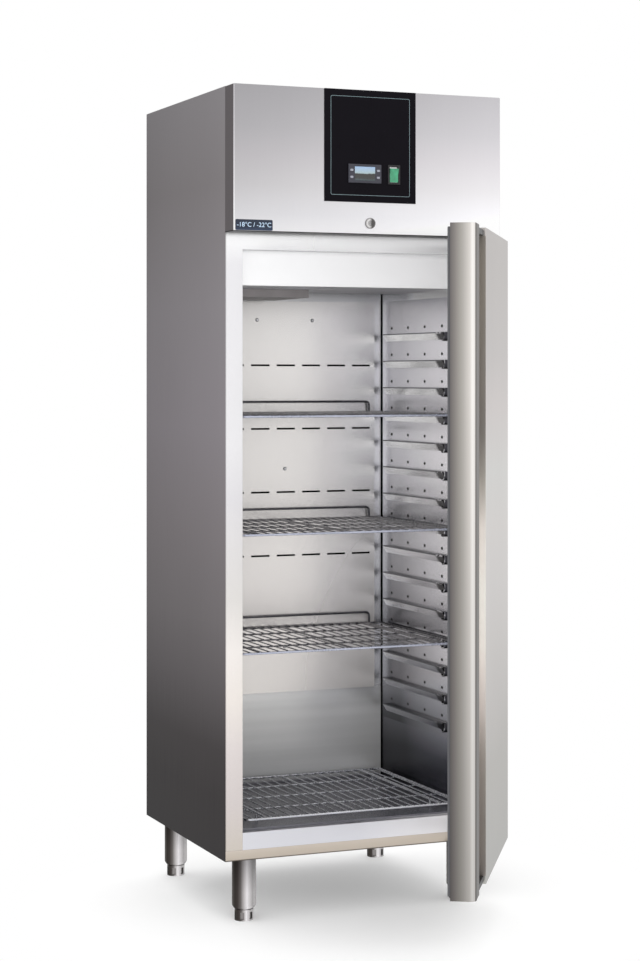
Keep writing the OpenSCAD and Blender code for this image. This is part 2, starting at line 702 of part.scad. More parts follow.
module cord_gland() color(black_tint) placed() difference() {
    translate([gland_x, body_d - 2 * sheet_t - gland_len, gland_z]) {
        rod_y(gland_body_d - 2 * move_gap, gland_len + 2 * sheet_t - 1);
        translate([0, 2, 0]) rod_y(gland_body_d + 8, gland_len - 2, $fn = 6);
    }
    translate([gland_x, body_d - 60, gland_z]) rod_y(gland_bore, 120);
}

// The fascia: a front plate with four returns, open at the back
module fascia() color(steel) placed() difference() {
    span([0, fascia_y, fascia_z], [body_w, 0, overall_h]);
    span([sheet_t, fascia_y + sheet_t, fascia_z + sheet_t], [body_w - sheet_t, 1, overall_h - sheet_t]);
    span([sheet_t, -4, fascia_z - 1], [body_w - sheet_t, 1, fascia_z + sheet_t + 1]);
    controller_hole(fascia_y - 1, fascia_y + sheet_t + 1);
    switch_hole(fascia_y - 1, fascia_y + sheet_t + 1);
    translate([mid_x, fascia_y - 1, lock_z]) rod_y(lock_barrel_d, sheet_t + 2);
    span([cam_x0, cam_y - cam_side, fascia_z - 1], [cam_x1, cam_y + cam_t + cam_side, fascia_z + sheet_t + 1]);
}

module controller_hole(y0, y1)
    span([controller_x - case_w / 2, y0, controls_z - case_h / 2],
         [controller_x + case_w / 2, y1, controls_z + case_h / 2]);

module switch_hole(y0, y1)
    span([switch_x - switch_w / 2 + 3, y0, controls_z - switch_h / 2 + 3],
         [switch_x + switch_w / 2 - 3, y1, controls_z + switch_h / 2 - 3]);

module control_plate() color(black_tint) placed() difference() {
    span([mid_x - plate_w / 2, plate_y, overall_h - plate_h], [mid_x + plate_w / 2, fascia_y, overall_h]);
    controller_hole(plate_y - 1, fascia_y + 1);
    switch_hole(plate_y - 1, fascia_y + 1);
}

key_x = (controller_w + screen_w) / 4;
module at_keys() for (s = [-1, 1], z = key_zs)
    translate([controller_x + s * key_x, 0, controls_z + z]) children();

module controller_body() color([0.35, 0.34, 0.37]) placed() difference() {
    union() {
        span([controller_x - controller_w / 2, controller_y, controls_z - controller_h / 2],
             [controller_x + controller_w / 2, plate_y, controls_z + controller_h / 2]);
        span([controller_x - case_w / 2 + 0.2, plate_y - eps, controls_z - case_h / 2 + 0.2],
             [controller_x + case_w / 2 - 0.2, plate_y + controller_depth, controls_z + case_h / 2 - 0.2]);
    }
    span([controller_x - screen_w / 2, controller_y - 1, controls_z - screen_h / 2],
         [controller_x + screen_w / 2, controller_y + 1.5, controls_z + screen_h / 2]);
    at_keys() span([-key_size[0] / 2 - 0.2, controller_y - 1, -key_size[1] / 2 - 0.2],
                   [key_size[0] / 2 + 0.2, controller_y + 3, key_size[1] / 2 + 0.2]);
}

module controller_screen() color([0.55, 0.66, 0.75]) placed()
    span([controller_x - screen_w / 2 + 0.1, controller_y + 0.3, controls_z - screen_h / 2 + 0.1],
         [controller_x + screen_w / 2 - 0.1, controller_y + 1.5, controls_z + screen_h / 2 - 0.1]);

// A key stands a little proud and sinks by its travel
key_proud = 1;
module key(side, up) color([0.6, 0.6, 0.64]) placed()
    translate([controller_x + side * key_x, 0, controls_z + up])
        span([-key_size[0] / 2, controller_y - key_proud, -key_size[1] / 2],
             [key_size[0] / 2, controller_y + 3 - key_travel - 0.2, key_size[1] / 2]);
module key_1() key(-1, key_zs[0]);
module key_2() key(-1, key_zs[1]);
module key_3() key(1, key_zs[0]);
module key_4() key(1, key_zs[1]);

rocker_w = switch_w - 11;
rocker_h = switch_h - 14;
rocker_pivot_y = plate_y + 6;
rocker_room = 2.2;
bezel_out = 3;
module switch_bezel() color(black_tint) placed() difference() {
    union() {
        span([switch_x - switch_w / 2, plate_y - bezel_out, controls_z - switch_h / 2],
             [switch_x + switch_w / 2, plate_y, controls_z + switch_h / 2]);
        span([switch_x - switch_w / 2 + 3.2, plate_y - eps, controls_z - switch_h / 2 + 3.2],
             [switch_x + switch_w / 2 - 3.2, plate_y + 30, controls_z + switch_h / 2 - 3.2]);
    }
    span([switch_x - rocker_w / 2 - move_gap, plate_y - bezel_out - 1, controls_z - rocker_h / 2 - rocker_room],
         [switch_x + rocker_w / 2 + move_gap, plate_y + 20, controls_z + rocker_h / 2 + rocker_room]);
}

// The rocker: two facets that meet in a shallow valley, on two trunnions' axis
module switch_rocker() color([0.1, 0.55, 0.33]) placed()
    translate([switch_x, rocker_pivot_y, controls_z]) rotate([rocker_tilt, 0, 0]) {
        translate([-rocker_w / 2, 0, 0]) rotate([90, 0, 90]) linear_extrude(height = rocker_w)
            polygon([[-11, -rocker_h / 2], [-8, 0], [-11, rocker_h / 2], [-5, rocker_h / 2 - 0.5],
                     [6, 6], [6, -6], [-5, -rocker_h / 2 + 0.5]]);
        translate([-rocker_w / 2 - move_gap + 0.05, 0, 0]) rod_x(4, rocker_w + 2 * move_gap - 0.1);
    }

rim_t = 2.5;
module lock_housing() color(zinc) placed() translate([mid_x, fascia_y, lock_z]) difference() {
    union() {
        translate([0, -rim_t, 0]) rod_y(lock_d, rim_t);
        translate([0, -eps, 0]) rod_y(lock_barrel_d - 0.2, 22);
        translate([0, sheet_t, 0]) rod_y(lock_d + 4, 5);
    }
    translate([0, -rim_t - 1, 0]) rod_y(lock_barrel_d - 8 + 2 * run_gap, 30);
}

// The key cylinder with its cam, which points sideways when the door is free
module lock_cylinder() color(steel) placed() translate([mid_x, fascia_y, lock_z]) {
    difference() {
        translate([0, -rim_t + 0.5, 0]) rod_y(lock_barrel_d - 8, rim_t + cam_y - fascia_y - 0.5);
        span([-1, -rim_t - 1, -4], [1, 6, 4]);
    }
    translate([0, cam_y - fascia_y - eps, 0]) {
        rod_y(cam_w, cam_t);
        span([0, 0, -cam_w / 2], [cam_len, cam_t, cam_w / 2]);
    }
}

label_off = 5;
label_t = 0.8;
module range_label() color([0.08, 0.12, 0.2]) placed()
    span([label_off, fascia_y - label_t, fascia_z + 3],
         [label_off + label_w, fascia_y, fascia_z + 3 + label_h]);

// Plan of the closed door, drawn in by t on every side but the inner one
module door_plan(t) difference() {
    translate([door_x0 + t, door_yo + t]) square([door_x1 - door_x0 - 2 * t, door_yi - door_yo - t]);
    translate([door_x0 - 1, door_yo - 1]) square([grip_x1 + t - door_x0 + 1, lip_step + t + 1]);
    translate([grip_x0 - t, door_yo - 1]) square([grip_w + 2 * t, grip_y + t - door_yo + 1]);
    difference() {
        translate([door_x0, lip_y]) square(lip_r);
        translate([door_x0 + lip_r, lip_y + lip_r]) circle(r = lip_r - t);
    }
}

bush_len = 20;
bush_d = pin_d + 6;
module at_hinge(z) translate([hinge_x, hinge_y, z]) children();

// The slot in the top of the door that takes the lock's cam
module cam_slot()
    span([cam_x0, cam_y - cam_side, door_z1 - slot_depth], [cam_x1, cam_y + cam_t + cam_side, door_z1 + 1]);

module door_skin() color(steel) swung() difference() {
    translate([0, 0, door_z0]) linear_extrude(height = door_z1 - door_z0) door_plan(0);
    translate([0, 0, door_z0 + sheet_t]) linear_extrude(height = door_z1 - door_z0 - 2 * sheet_t)
        union() {
            door_plan(sheet_t);
            translate([door_x0 + sheet_t, door_yi - 2]) square([door_x1 - door_x0 - 2 * sheet_t, 4]);
        }
    at_hinge(door_z1 - 3 * sheet_t) cylinder(d = bush_d + 2 * run_gap, h = 6 * sheet_t);
    at_hinge(door_z0 - sheet_t) cylinder(d = bush_d + 2 * run_gap, h = 3 * sheet_t);
    cam_slot();
}

// The inner pan is pressed from sheet: its border stands out, and the foam fills the border from behind
pan_t = 1;
pan_in = 34;
pan_rise = 5;
pan_border = 60;
pan_sink = 2;
module pan_form(t) difference() {
    span([door_x0 + pan_in + t, door_yi - 2 * pan_t, door_z0 + pan_in + t],
         [door_x1 - pan_in - t, door_yi + pan_rise - t, door_z1 - pan_in - t]);
    inner = pan_in + pan_border - t;
    span([door_x0 + inner, door_yi + pan_rise - pan_sink - t, door_z0 + inner],
         [door_x1 - inner, door_yi + pan_rise + 1, door_z1 - inner]);
}

module door_insulation() color(foam_tint) swung() difference() {
    union() {
        translate([0, 0, door_z0 + sheet_t]) linear_extrude(height = door_z1 - door_z0 - 2 * sheet_t)
            intersection() {
                door_plan(sheet_t);
                translate([door_x0, door_yo]) square([door_x1 - door_x0, door_yi - pan_t - door_yo]);
            }
        pan_form(pan_t);
    }
    at_hinge(door_z1 - bush_len) cylinder(d = bush_d + 2 * run_gap, h = bush_len + 1);
    at_hinge(door_z0 - 1) cylinder(d = bush_d + 2 * run_gap, h = bush_len + 1);
    cam_slot();
}

module door_inner_pan() color(steel) swung() difference() {
    union() {
        span([door_x0 + sheet_t, door_yi - pan_t, door_z0 + sheet_t],
             [door_x1 - sheet_t, door_yi, door_z1 - sheet_t]);
        intersection() {
            pan_form(0);
            span([door_x0, door_yi - eps, door_z0], [door_x1, door_yi + pan_rise + 1, door_z1]);
        }
    }
    pan_form(pan_t);
}

gasket_in = 8;
gasket_w = 22;
gasket_gap = 1;
module door_gasket() color([0.55, 0.55, 0.56]) swung() difference() {
    span([door_x0 + gasket_in, door_yi, door_z0 + gasket_in],
         [door_x1 - gasket_in, -gasket_gap, door_z1 - gasket_in]);
    span([door_x0 + gasket_in + gasket_w, door_yi - 1, door_z0 + gasket_in + gasket_w],
         [door_x1 - gasket_in - gasket_w, 1, door_z1 - gasket_in - gasket_w]);
}

cap_h = 14;
cap_drop = 5;
channel_t = 1;
module grip_channel() color(dark_steel) swung() {
    z0 = door_z0 + cap_drop + cap_h;
    z1 = door_z1 - cap_drop - cap_h;
    span([grip_x0, grip_y - channel_t, z0], [grip_x1, grip_y, z1]);
    span([grip_x0, lip_y + 3, z0], [grip_x0 + channel_t, grip_y, z1]);
    span([grip_x1 - channel_t, door_yo + 1, z0], [grip_x1, grip_y, z1]);
}

module door_end_caps() color(black_tint) swung()
    for (z = [door_z0 + cap_drop, door_z1 - cap_drop - cap_h])
        span([grip_x0, lip_y + 2, z], [grip_x1, grip_y, z + cap_h]);

module hinge_bushes() color([0.85, 0.85, 0.83]) swung()
    for (z = [door_z0, door_z1 - bush_len]) at_hinge(z) difference() {
        cylinder(d = bush_d, h = bush_len);
        translate([0, 0, -1]) cylinder(d = pin_d + 2 * run_gap, h = bush_len + 2);
    }

// Brackets with fixed pins: one under the fascia, one under the cabinet
bracket_len = 60;
bracket_t = 3;
lower_t = 6;
module hinge_brackets() color(dark_steel) placed() {
    upper_z = door_z1 + (door_gap_top - bracket_t) / 2;
    reach = hinge_out + 12;
    span([body_w - bracket_len, -reach, upper_z], [body_w - sheet_t, 0, upper_z + bracket_t]);
    span([body_w - bracket_len, -bracket_t, upper_z], [body_w - sheet_t, 0, bay_z]);
    at_hinge(door_z1 - bush_len + 2) cylinder(d = pin_d, h = upper_z - door_z1 + bush_len - 1);
    span([body_w - 110, -reach, leg_h - lower_t], [body_w - sheet_t, 12, leg_h]);
    span([body_w - 110, -reach, leg_h - lower_t - 8], [body_w - sheet_t, -reach + 4, leg_h]);
    at_hinge(leg_h - 1) cylinder(d = pin_d + 10, h = door_rise + 1);
    at_hinge(leg_h - 1) cylinder(d = pin_d, h = door_rise + bush_len - 1);
}

leg_at = [[leg_in_x, leg_in_y], [body_w - leg_in_x, leg_in_y],
          [leg_in_x, body_d - leg_in_y], [body_w - leg_in_x, body_d - leg_in_y]];
stem_d = 16;
leg_wall = 2;
leg_plug = 14;
leg_edge = 4;
leg_edge_h = 7;
module leg_tubes() color(steel) placed() for (p = leg_at) translate([p[0], p[1], 0]) difference() {
    union() {
        translate([0, 0, foot_h + leg_edge_h]) cylinder(d = leg_d, h = leg_h - foot_h - leg_edge_h);
        translate([0, 0, foot_h]) cylinder(d1 = leg_d - 2 * leg_edge, d2 = leg_d, h = leg_edge_h + eps);
    }
    translate([0, 0, foot_h + leg_plug]) cylinder(d = leg_d - 2 * leg_wall, h = leg_h - foot_h - leg_plug - 3);
    translate([0, 0, foot_h - 1]) cylinder(d = stem_d + 2 * run_gap, h = leg_plug + 2);
}

// A foot: a threaded stem and a wide pad with spanner notches
module foot(p) color(zinc) placed() translate([p[0], p[1], 0]) difference() {
    pad_d = leg_d - 13;
    neck_h = 3;
    notch_w = 10;
    notch_in = 4;
    union() {
        cylinder(d = pad_d, h = foot_h - neck_h);
        cylinder(d = pad_d - 2 * notch_in, h = foot_h);
        cylinder(d = stem_d, h = foot_h + leg_plug + 20);
    }
    for (a = [0 : 60 : 300]) rotate([0, 0, a])
        translate([pad_d / 2 - notch_in, -notch_w / 2, 4]) cube([notch_w, notch_w, foot_h - neck_h - 10]);
}
module foot_front_left() foot(leg_at[0]);
module foot_front_right() foot(leg_at[1]);
module foot_back_left() foot(leg_at[2]);
module foot_back_right() foot(leg_at[3]);

left_side_panel();
right_side_panel();
back_panel();
bottom_panel();
bay_floor();
top_cover();
rear_grille();
cabinet_insulation();
inner_liner();
front_frame();
sill();
left_rail_panel();
right_rail_panel();
rear_duct();
duct_screws();
upper_shelf();
middle_shelf();
lower_shelf();
floor_grid();
inner_head_panel();
evaporator_cover();
evaporator_coil();
evaporator_fan_motor();
evaporator_fan();
drip_tray();
compressor();
compressor_mounts();
condenser_coil();
condenser_fan_motor();
condenser_fan();
refrigerant_pipes();
filter_drier();
electrical_box();
cord_gland();
fascia();
control_plate();
controller_body();
controller_screen();
key_1();
key_2();
key_3();
key_4();
switch_bezel();
switch_rocker();
lock_housing();
lock_cylinder();
range_label();
door_skin();
door_insulation();
door_inner_pan();
door_gasket();
grip_channel();
door_end_caps();
hinge_bushes();
hinge_brackets();
leg_tubes();
foot_front_left();
foot_front_right();
foot_back_left();
foot_back_right();
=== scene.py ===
import json
import math

import bmesh
import bpy
from mathutils import Matrix, Quaternion, Vector


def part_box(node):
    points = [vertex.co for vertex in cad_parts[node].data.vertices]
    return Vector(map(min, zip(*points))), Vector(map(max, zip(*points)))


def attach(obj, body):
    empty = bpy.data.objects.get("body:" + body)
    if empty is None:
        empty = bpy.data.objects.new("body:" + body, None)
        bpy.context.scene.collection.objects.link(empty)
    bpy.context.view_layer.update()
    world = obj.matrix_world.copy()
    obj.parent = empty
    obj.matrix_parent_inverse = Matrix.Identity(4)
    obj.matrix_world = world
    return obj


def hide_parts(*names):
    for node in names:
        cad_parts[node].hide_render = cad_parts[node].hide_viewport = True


bl_info = {
    "name": "Upright freezer",
    "version": (1, 0, 0),
    "blender": (4, 5, 0),
    "location": "View3D > Sidebar > Freezer",
    "description": "Dresses the frame of an upright freezer with its visible pieces, finishes and stage",
    "category": "Object",
}

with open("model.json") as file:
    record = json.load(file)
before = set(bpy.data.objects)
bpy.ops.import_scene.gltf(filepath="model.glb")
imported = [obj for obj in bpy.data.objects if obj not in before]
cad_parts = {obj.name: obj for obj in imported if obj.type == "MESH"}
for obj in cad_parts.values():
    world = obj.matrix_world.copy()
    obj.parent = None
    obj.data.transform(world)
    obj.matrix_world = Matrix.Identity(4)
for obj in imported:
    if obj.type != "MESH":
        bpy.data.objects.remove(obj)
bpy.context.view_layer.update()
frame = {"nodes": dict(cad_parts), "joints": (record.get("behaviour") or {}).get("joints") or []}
NODES = frame["nodes"]
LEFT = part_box("left_side_panel")[0].x
FRONT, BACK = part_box("front_frame")[0].y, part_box("left_side_panel")[1].y

# The door is modelled shut, in the cabinet's own directions, and then swung open about its hinge
HINGE = next(j for j in frame["joints"] if j["name"] == "door_hinge")
PIN = Vector(HINGE["pos_m"])
OPEN = Matrix.Rotation(-math.radians(HINGE["range_deg"][0]), 4, "Z")
SWING = Matrix.Translation(PIN) @ OPEN @ Matrix.Translation(-PIN)

X, Y, Z = 0, 1, 2
HAIR = 1e-5   # two places closer than this are the same
MERGE = 1e-6  # vertices closer than this become one
SMOOTH = math.radians(35)  # edges with less of a turn are shaded smooth
FINISH = {}   # the materials by name, filled in main


def shut_box(node):
    """Lowest and highest corner of a door node with the door shut."""
    points = [SWING.inverted() @ v.co for v in NODES[node].data.vertices]
    return [Vector([end(p[i] for p in points) for i in range(3)]) for end in (min, max)]


def tone(red, green, blue):
    """A linear colour from the 0 to 255 numbers of a colour picker."""
    return tuple(((c / 255 + 0.055) / 1.055) ** 2.4 if c > 10 else c / 255 / 12.92
                 for c in (red, green, blue))


# Settings

def length(label, text, default):
    return bpy.props.FloatProperty(name=label, description=text, default=default, unit="LENGTH", precision=4)


def colour(label, text, default):
    return bpy.props.FloatVectorProperty(name=label, description=text, default=default, subtype="COLOR",
                                         size=3, min=0, max=1)


class FreezerSizes(bpy.types.PropertyGroup):
    """Sizes of the details that the frame leaves plain."""
    fold: length("Fold radius", "Outer radius of a fold in the sheet", 0.0026)
    sheet: length("Sheet", "Thickness of the steel sheet", 0.0012)
    corner: length("Duct corner", "Corner radius of the air duct panel", 0.012)
    outline_in: length("Outline inset", "From the control plate's edge to the printed line", 0.0165)
    outline_w: length("Outline width", "Width of the printed line", 0.0009)
    outline_r: length("Outline corner", "Corner radius of the printed line", 0.004)
    key_r: length("Key corner", "Corner radius of the keys", 0.0016)
    label_r: length("Label corner", "Corner radius of the temperature label", 0.003)
    text_h: length("Text height", "Size of the text on the temperature label", 0.0155)
    wire_bend: length("Wire bend", "Bend radius of the shelves' rim wires", 0.014)
    stop_bend: length("Stop bend", "Bend radius of the shelves' back stop", 0.010)
    stop_in: length("Stop inset", "From a shelf's side to its back stop", 0.041)
    stop_rise: length("Stop height", "Height of the back stop above the rim", 0.030)
    bar_in: length("Bar inset", "From a shelf's side to its thick bars", 0.057)
    grid_foot_in: length("Grid foot inset", "From the floor grid's front and back to its feet", 0.08)
    thin_wire: length("Thin wire", "Diameter of the shelves' thin wires", 0.0032)
    rim_wire: length("Rim wire", "Diameter of the shelves' rim wires", 0.006)
    wire_step: length("Wire step", "Distance from one thin wire to the next", 0.025)
    door_edge: length("Door edge", "Radius of the door's rounded free edge", 0.012)
    door_lip: length("Door lip", "How far the free edge stands behind the door's outer face", 0.004)


class FreezerColours(bpy.types.PropertyGroup):
    """Colours of the finishes."""
    zinc: colour("Galvanised sheet", "Galvanised sheet at the back and below", tone(176, 172, 164))
    plate: colour("Control plate", "Black control plate", tone(15, 13, 18))
    outline: colour("Printed line", "Printed line on the control plate", tone(120, 140, 145))
    bezel: colour("Controller", "Case of the controller", tone(56, 56, 64))
    keys: colour("Keys", "Keys beside the screen", tone(140, 142, 152))
    lens: colour("Switch lens", "Green lens of the rocker switch", tone(50, 132, 96))
    label: colour("Label", "Dark blue temperature label", tone(20, 30, 48))
    panel: colour("Head panel", "White head panel", tone(250, 250, 251))
    cover: colour("Ceiling unit", "Cover of the ceiling unit", tone(196, 195, 199))
    tray: colour("Drip tray", "Drip tray under the ceiling unit", tone(166, 161, 161))


def sizes():
    return bpy.context.scene.freezer_sizes


def colours():
    return bpy.context.scene.freezer_colours


# Modelling

def select_only(*objs):
    for o in bpy.context.selected_objects:
        o.select_set(False)
    for o in objs:
        o.select_set(True)
    if objs:
        bpy.context.view_layer.objects.active = objs[0]


def settle(obj):
    """Moves the object's place, turn and size into its mesh."""
    select_only(obj)
    bpy.ops.object.transform_apply(location=True, rotation=True, scale=True)
    return obj


def named(name):
    obj = bpy.context.object
    obj.name = name
    obj.data.name = name
    return settle(obj)


def block(name, low, high):
    low, high = Vector(low), Vector(high)
    select_only()
    bpy.ops.mesh.primitive_cube_add(size=1, location=(low + high) / 2, scale=high - low)
    return named(name)


def flat(name, low, high):
    """The bottom of a box, as a rectangle."""
    centre, size = (low + high) / 2, high - low
    select_only()
    bpy.ops.mesh.primitive_plane_add(size=1, location=(centre.x, centre.y, low.z))
    bpy.context.object.scale = (size.x, size.y, 1)
    return named(name)


def edit(obj, action="DESELECT"):
    select_only(obj)
    bpy.ops.object.mode_set(mode="EDIT")
    bpy.ops.mesh.select_all(action=action)


def leave():
    bpy.ops.object.mode_set(mode="OBJECT")


def pick(obj, kind, test):
    """Opens the object with the vertices, edges or faces selected that pass the test, at least one."""
    edit(obj)
    bpy.ops.mesh.select_mode(type=kind)
    mesh = bmesh.from_edit_mesh(obj.data)
    chosen = [e for e in {"VERT": mesh.verts, "EDGE": mesh.edges, "FACE": mesh.faces}[kind] if test(e)]
    for e in chosen:
        e.select_set(True)
    bmesh.update_edit_mesh(obj.data)
    if not chosen:
        leave()
        raise RuntimeError(f"{obj.name}: nothing to select")


def on(element, axis, value):
    """Does every vertex of the element lie on that plane?"""
    verts = [element] if isinstance(element, bmesh.types.BMVert) else element.verts
    return all(abs(v.co[axis] - value) < HAIR for v in verts)


def along(edge, axis):
    d = edge.verts[1].co - edge.verts[0].co
    return abs(d[axis]) > 0.999 * d.length


def faces_to(face, axis, sign):
    return face.normal[axis] * sign > 0.99


def bevel(obj, test, width, segments=3, kind="EDGE"):
    pick(obj, kind, test)
    bpy.ops.mesh.bevel(offset=width, segments=segments, affect="EDGES" if kind == "EDGE" else "VERTICES",
                       clamp_overlap=True)
    leave()


def remove_faces(obj, test):
    pick(obj, "FACE", test)
    bpy.ops.mesh.delete(type="FACE")
    leave()


def bisect(obj, axis, value):
    edit(obj, "SELECT")
    bpy.ops.mesh.bisect(plane_co=[value if i == axis else 0 for i in range(3)],
                        plane_no=[1 if i == axis else 0 for i in range(3)])
    leave()


def inset(obj, test, width):
    pick(obj, "FACE", test)
    bpy.ops.mesh.inset(thickness=width, depth=0, use_even_offset=True)
    leave()


def outward(obj):
    edit(obj, "SELECT")
    bpy.ops.mesh.remove_doubles(threshold=MERGE)
    bpy.ops.mesh.normals_make_consistent(inside=False)
    leave()


def apply(obj, kind, **settings):
    modifier = obj.modifiers.new(kind.title(), kind)
    for key, value in settings.items():
        setattr(modifier, key, value)
    select_only(obj)
    bpy.ops.object.modifier_apply(modifier=modifier.name)


def thicken(obj, thickness):
    """Gives a surface its thickness, on its inner side."""
    apply(obj, "SOLIDIFY", thickness=thickness, offset=-1, use_even_offset=True)


def ease(obj, width, segments=2, angle=30):
    """Rounds every sharp edge a little."""
    apply(obj, "BEVEL", width=width, segments=segments, limit_method="ANGLE",
          angle_limit=math.radians(angle), use_clamp_overlap=True)


def linked(name, data):
    """A new object in the scene for the data."""
    obj = bpy.data.objects.new(name, data)
    bpy.context.scene.collection.objects.link(obj)
    return obj


def copy(obj, name, move):
    twin = linked(name, obj.data.copy())
    twin.location = move
    return settle(twin)


def join(name, objs):
    select_only(*objs)
    bpy.ops.object.join()
    return named(name)


def from_frame(name, node):
    """A copy of a node's mesh as one clean surface, ready to be shaped further."""
    obj = linked(name, NODES[node].data.copy())
    edit(obj, "SELECT")
    bpy.ops.mesh.remove_doubles(threshold=MERGE)
    bpy.ops.mesh.dissolve_limited(angle_limit=math.radians(0.6))
    leave()
    return obj


def turned(name, foot, rings):
    """An upright turned piece: rings are (height, radius) from its foot up, and both ends are closed."""
    select_only()
    height, radius = rings[0]
    bpy.ops.mesh.primitive_circle_add(vertices=48, radius=radius, fill_type="NGON", location=(0, 0, height))
    obj = named(name)
    edit(obj)
    bpy.ops.mesh.select_mode(type="FACE")
    bpy.ops.mesh.select_all(action="SELECT")
    for (z0, r0), (z1, r1) in zip(rings, rings[1:]):
        bpy.ops.mesh.extrude_region_move(TRANSFORM_OT_translate={"value": (0, 0, z1 - z0)})
        bpy.ops.transform.resize(value=(r1 / r0, r1 / r0, 1), center_override=(0, 0, z1))
    bpy.ops.mesh.select_all(action="SELECT")
    bpy.ops.mesh.normals_make_consistent(inside=False)
    leave()
    obj.location = foot
    return settle(obj)


def rounded(points, radius, closed):
    """The points of a path with its corners replaced by arcs."""
    points = [Vector(p) for p in points]
    made, steps = [], 5
    for i, p in enumerate(points):
        if not closed and i in (0, len(points) - 1):
            made.append(p)
            continue
        to_last = (points[i - 1] - p).normalized()
        to_next = (points[(i + 1) % len(points)] - p).normalized()
        half = to_last.angle(to_next) / 2
        reach = radius / math.tan(half)
        centre = p + (to_last + to_next).normalized() * radius / math.sin(half)
        start = p + to_last * reach - centre
        turn = start.rotation_difference(p + to_next * reach - centre)
        made += [centre + Quaternion().slerp(turn, k / steps) @ start for k in range(steps + 1)]
    return made


def wire(name, points, diameter, radius=0.0, closed=False):
    """A round wire along a path, with its corners bent to the radius."""
    path = rounded(points, radius, closed) if radius else points
    select_only()
    bpy.ops.curve.primitive_nurbs_path_add(location=(0, 0, 0))
    curve = bpy.context.object.data
    curve.splines.clear()
    spline = curve.splines.new("POLY")
    spline.points.add(len(path) - 1)
    for point, place in zip(spline.points, path):
        point.co = (*place, 1)
    spline.use_cyclic_u = closed
    curve.dimensions = "3D"
    curve.bevel_depth = diameter / 2
    curve.bevel_resolution = 2
    curve.use_fill_caps = not closed
    bpy.ops.object.convert(target="MESH")
    obj = named(name)
    outward(obj)
    return obj


def dress(obj, finish, nodes=(), body="cabinet", swing=False):
    """The last step of every piece: its place, shading, finish, body and the nodes that it stands for."""
    if swing:
        obj.data.transform(SWING)
    select_only(obj)
    bpy.ops.object.shade_smooth_by_angle(angle=SMOOTH)
    apply(obj, "WEIGHTED_NORMAL", keep_sharp=True, weight=60)
    obj.data.materials.clear()
    obj.data.materials.append(FINISH[finish])
    if nodes:
        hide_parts(*nodes)
    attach(obj, body)


def eased(name, node, finish, width, segments=2, body="cabinet"):
    """A copy of a node with its sharp edges rounded a little, in place of the node."""
    obj = from_frame(name, node)
    ease(obj, width, segments)
    dress(obj, finish, [node], body)


def paint(finish, *nodes):
    """Gives frame nodes, which keep their shape, a finish."""
    for n in nodes:
        NODES[n].data.materials.clear()
        NODES[n].data.materials.append(FINISH[finish])


# Finishes

FINE, SOFT = (0.25, 0.75), (0.3, 0.7)  # where most of a fine and of a soft noise lies


class Tree:
    """A node tree, and short ways to add to it."""

    def __init__(self, tree):
        self.nodes, self.links = tree.nodes, tree.links

    def add(self, kind, inputs=None, **settings):
        node = self.nodes.new(kind)
        for key, value in settings.items():
            setattr(node, key, value)
        for key, value in (inputs or {}).items():
            if isinstance(value, bpy.types.NodeSocket):
                self.links.new(value, node.inputs[key])
            else:
                node.inputs[key].default_value = value
        return node

    def calc(self, kind, *values):
        """The values joined one after another by a sum, a product or the like."""
        total = values[0]
        for value in values[1:]:
            total = self.add("ShaderNodeMath", {0: total, 1: value}, operation=kind).outputs[0]
        return total

    def product(self, *values):
        return self.calc("MULTIPLY", *values)

    def largest(self, *values):
        return self.calc("MAXIMUM", *values)

    def spread(self, value, low, high, start=0.0, end=1.0):
        """From low at the start to high at the end, and level beyond them."""
        return self.add("ShaderNodeMapRange", {"Value": value, "From Min": start, "From Max": end,
                                               "To Min": low, "To Max": high}).outputs[0]

    def rise(self, value, start, end):
        return self.spread(value, 0, 1, start, end)

    def fall(self, value, start, end):
        return self.spread(value, 1, 0, start, end)


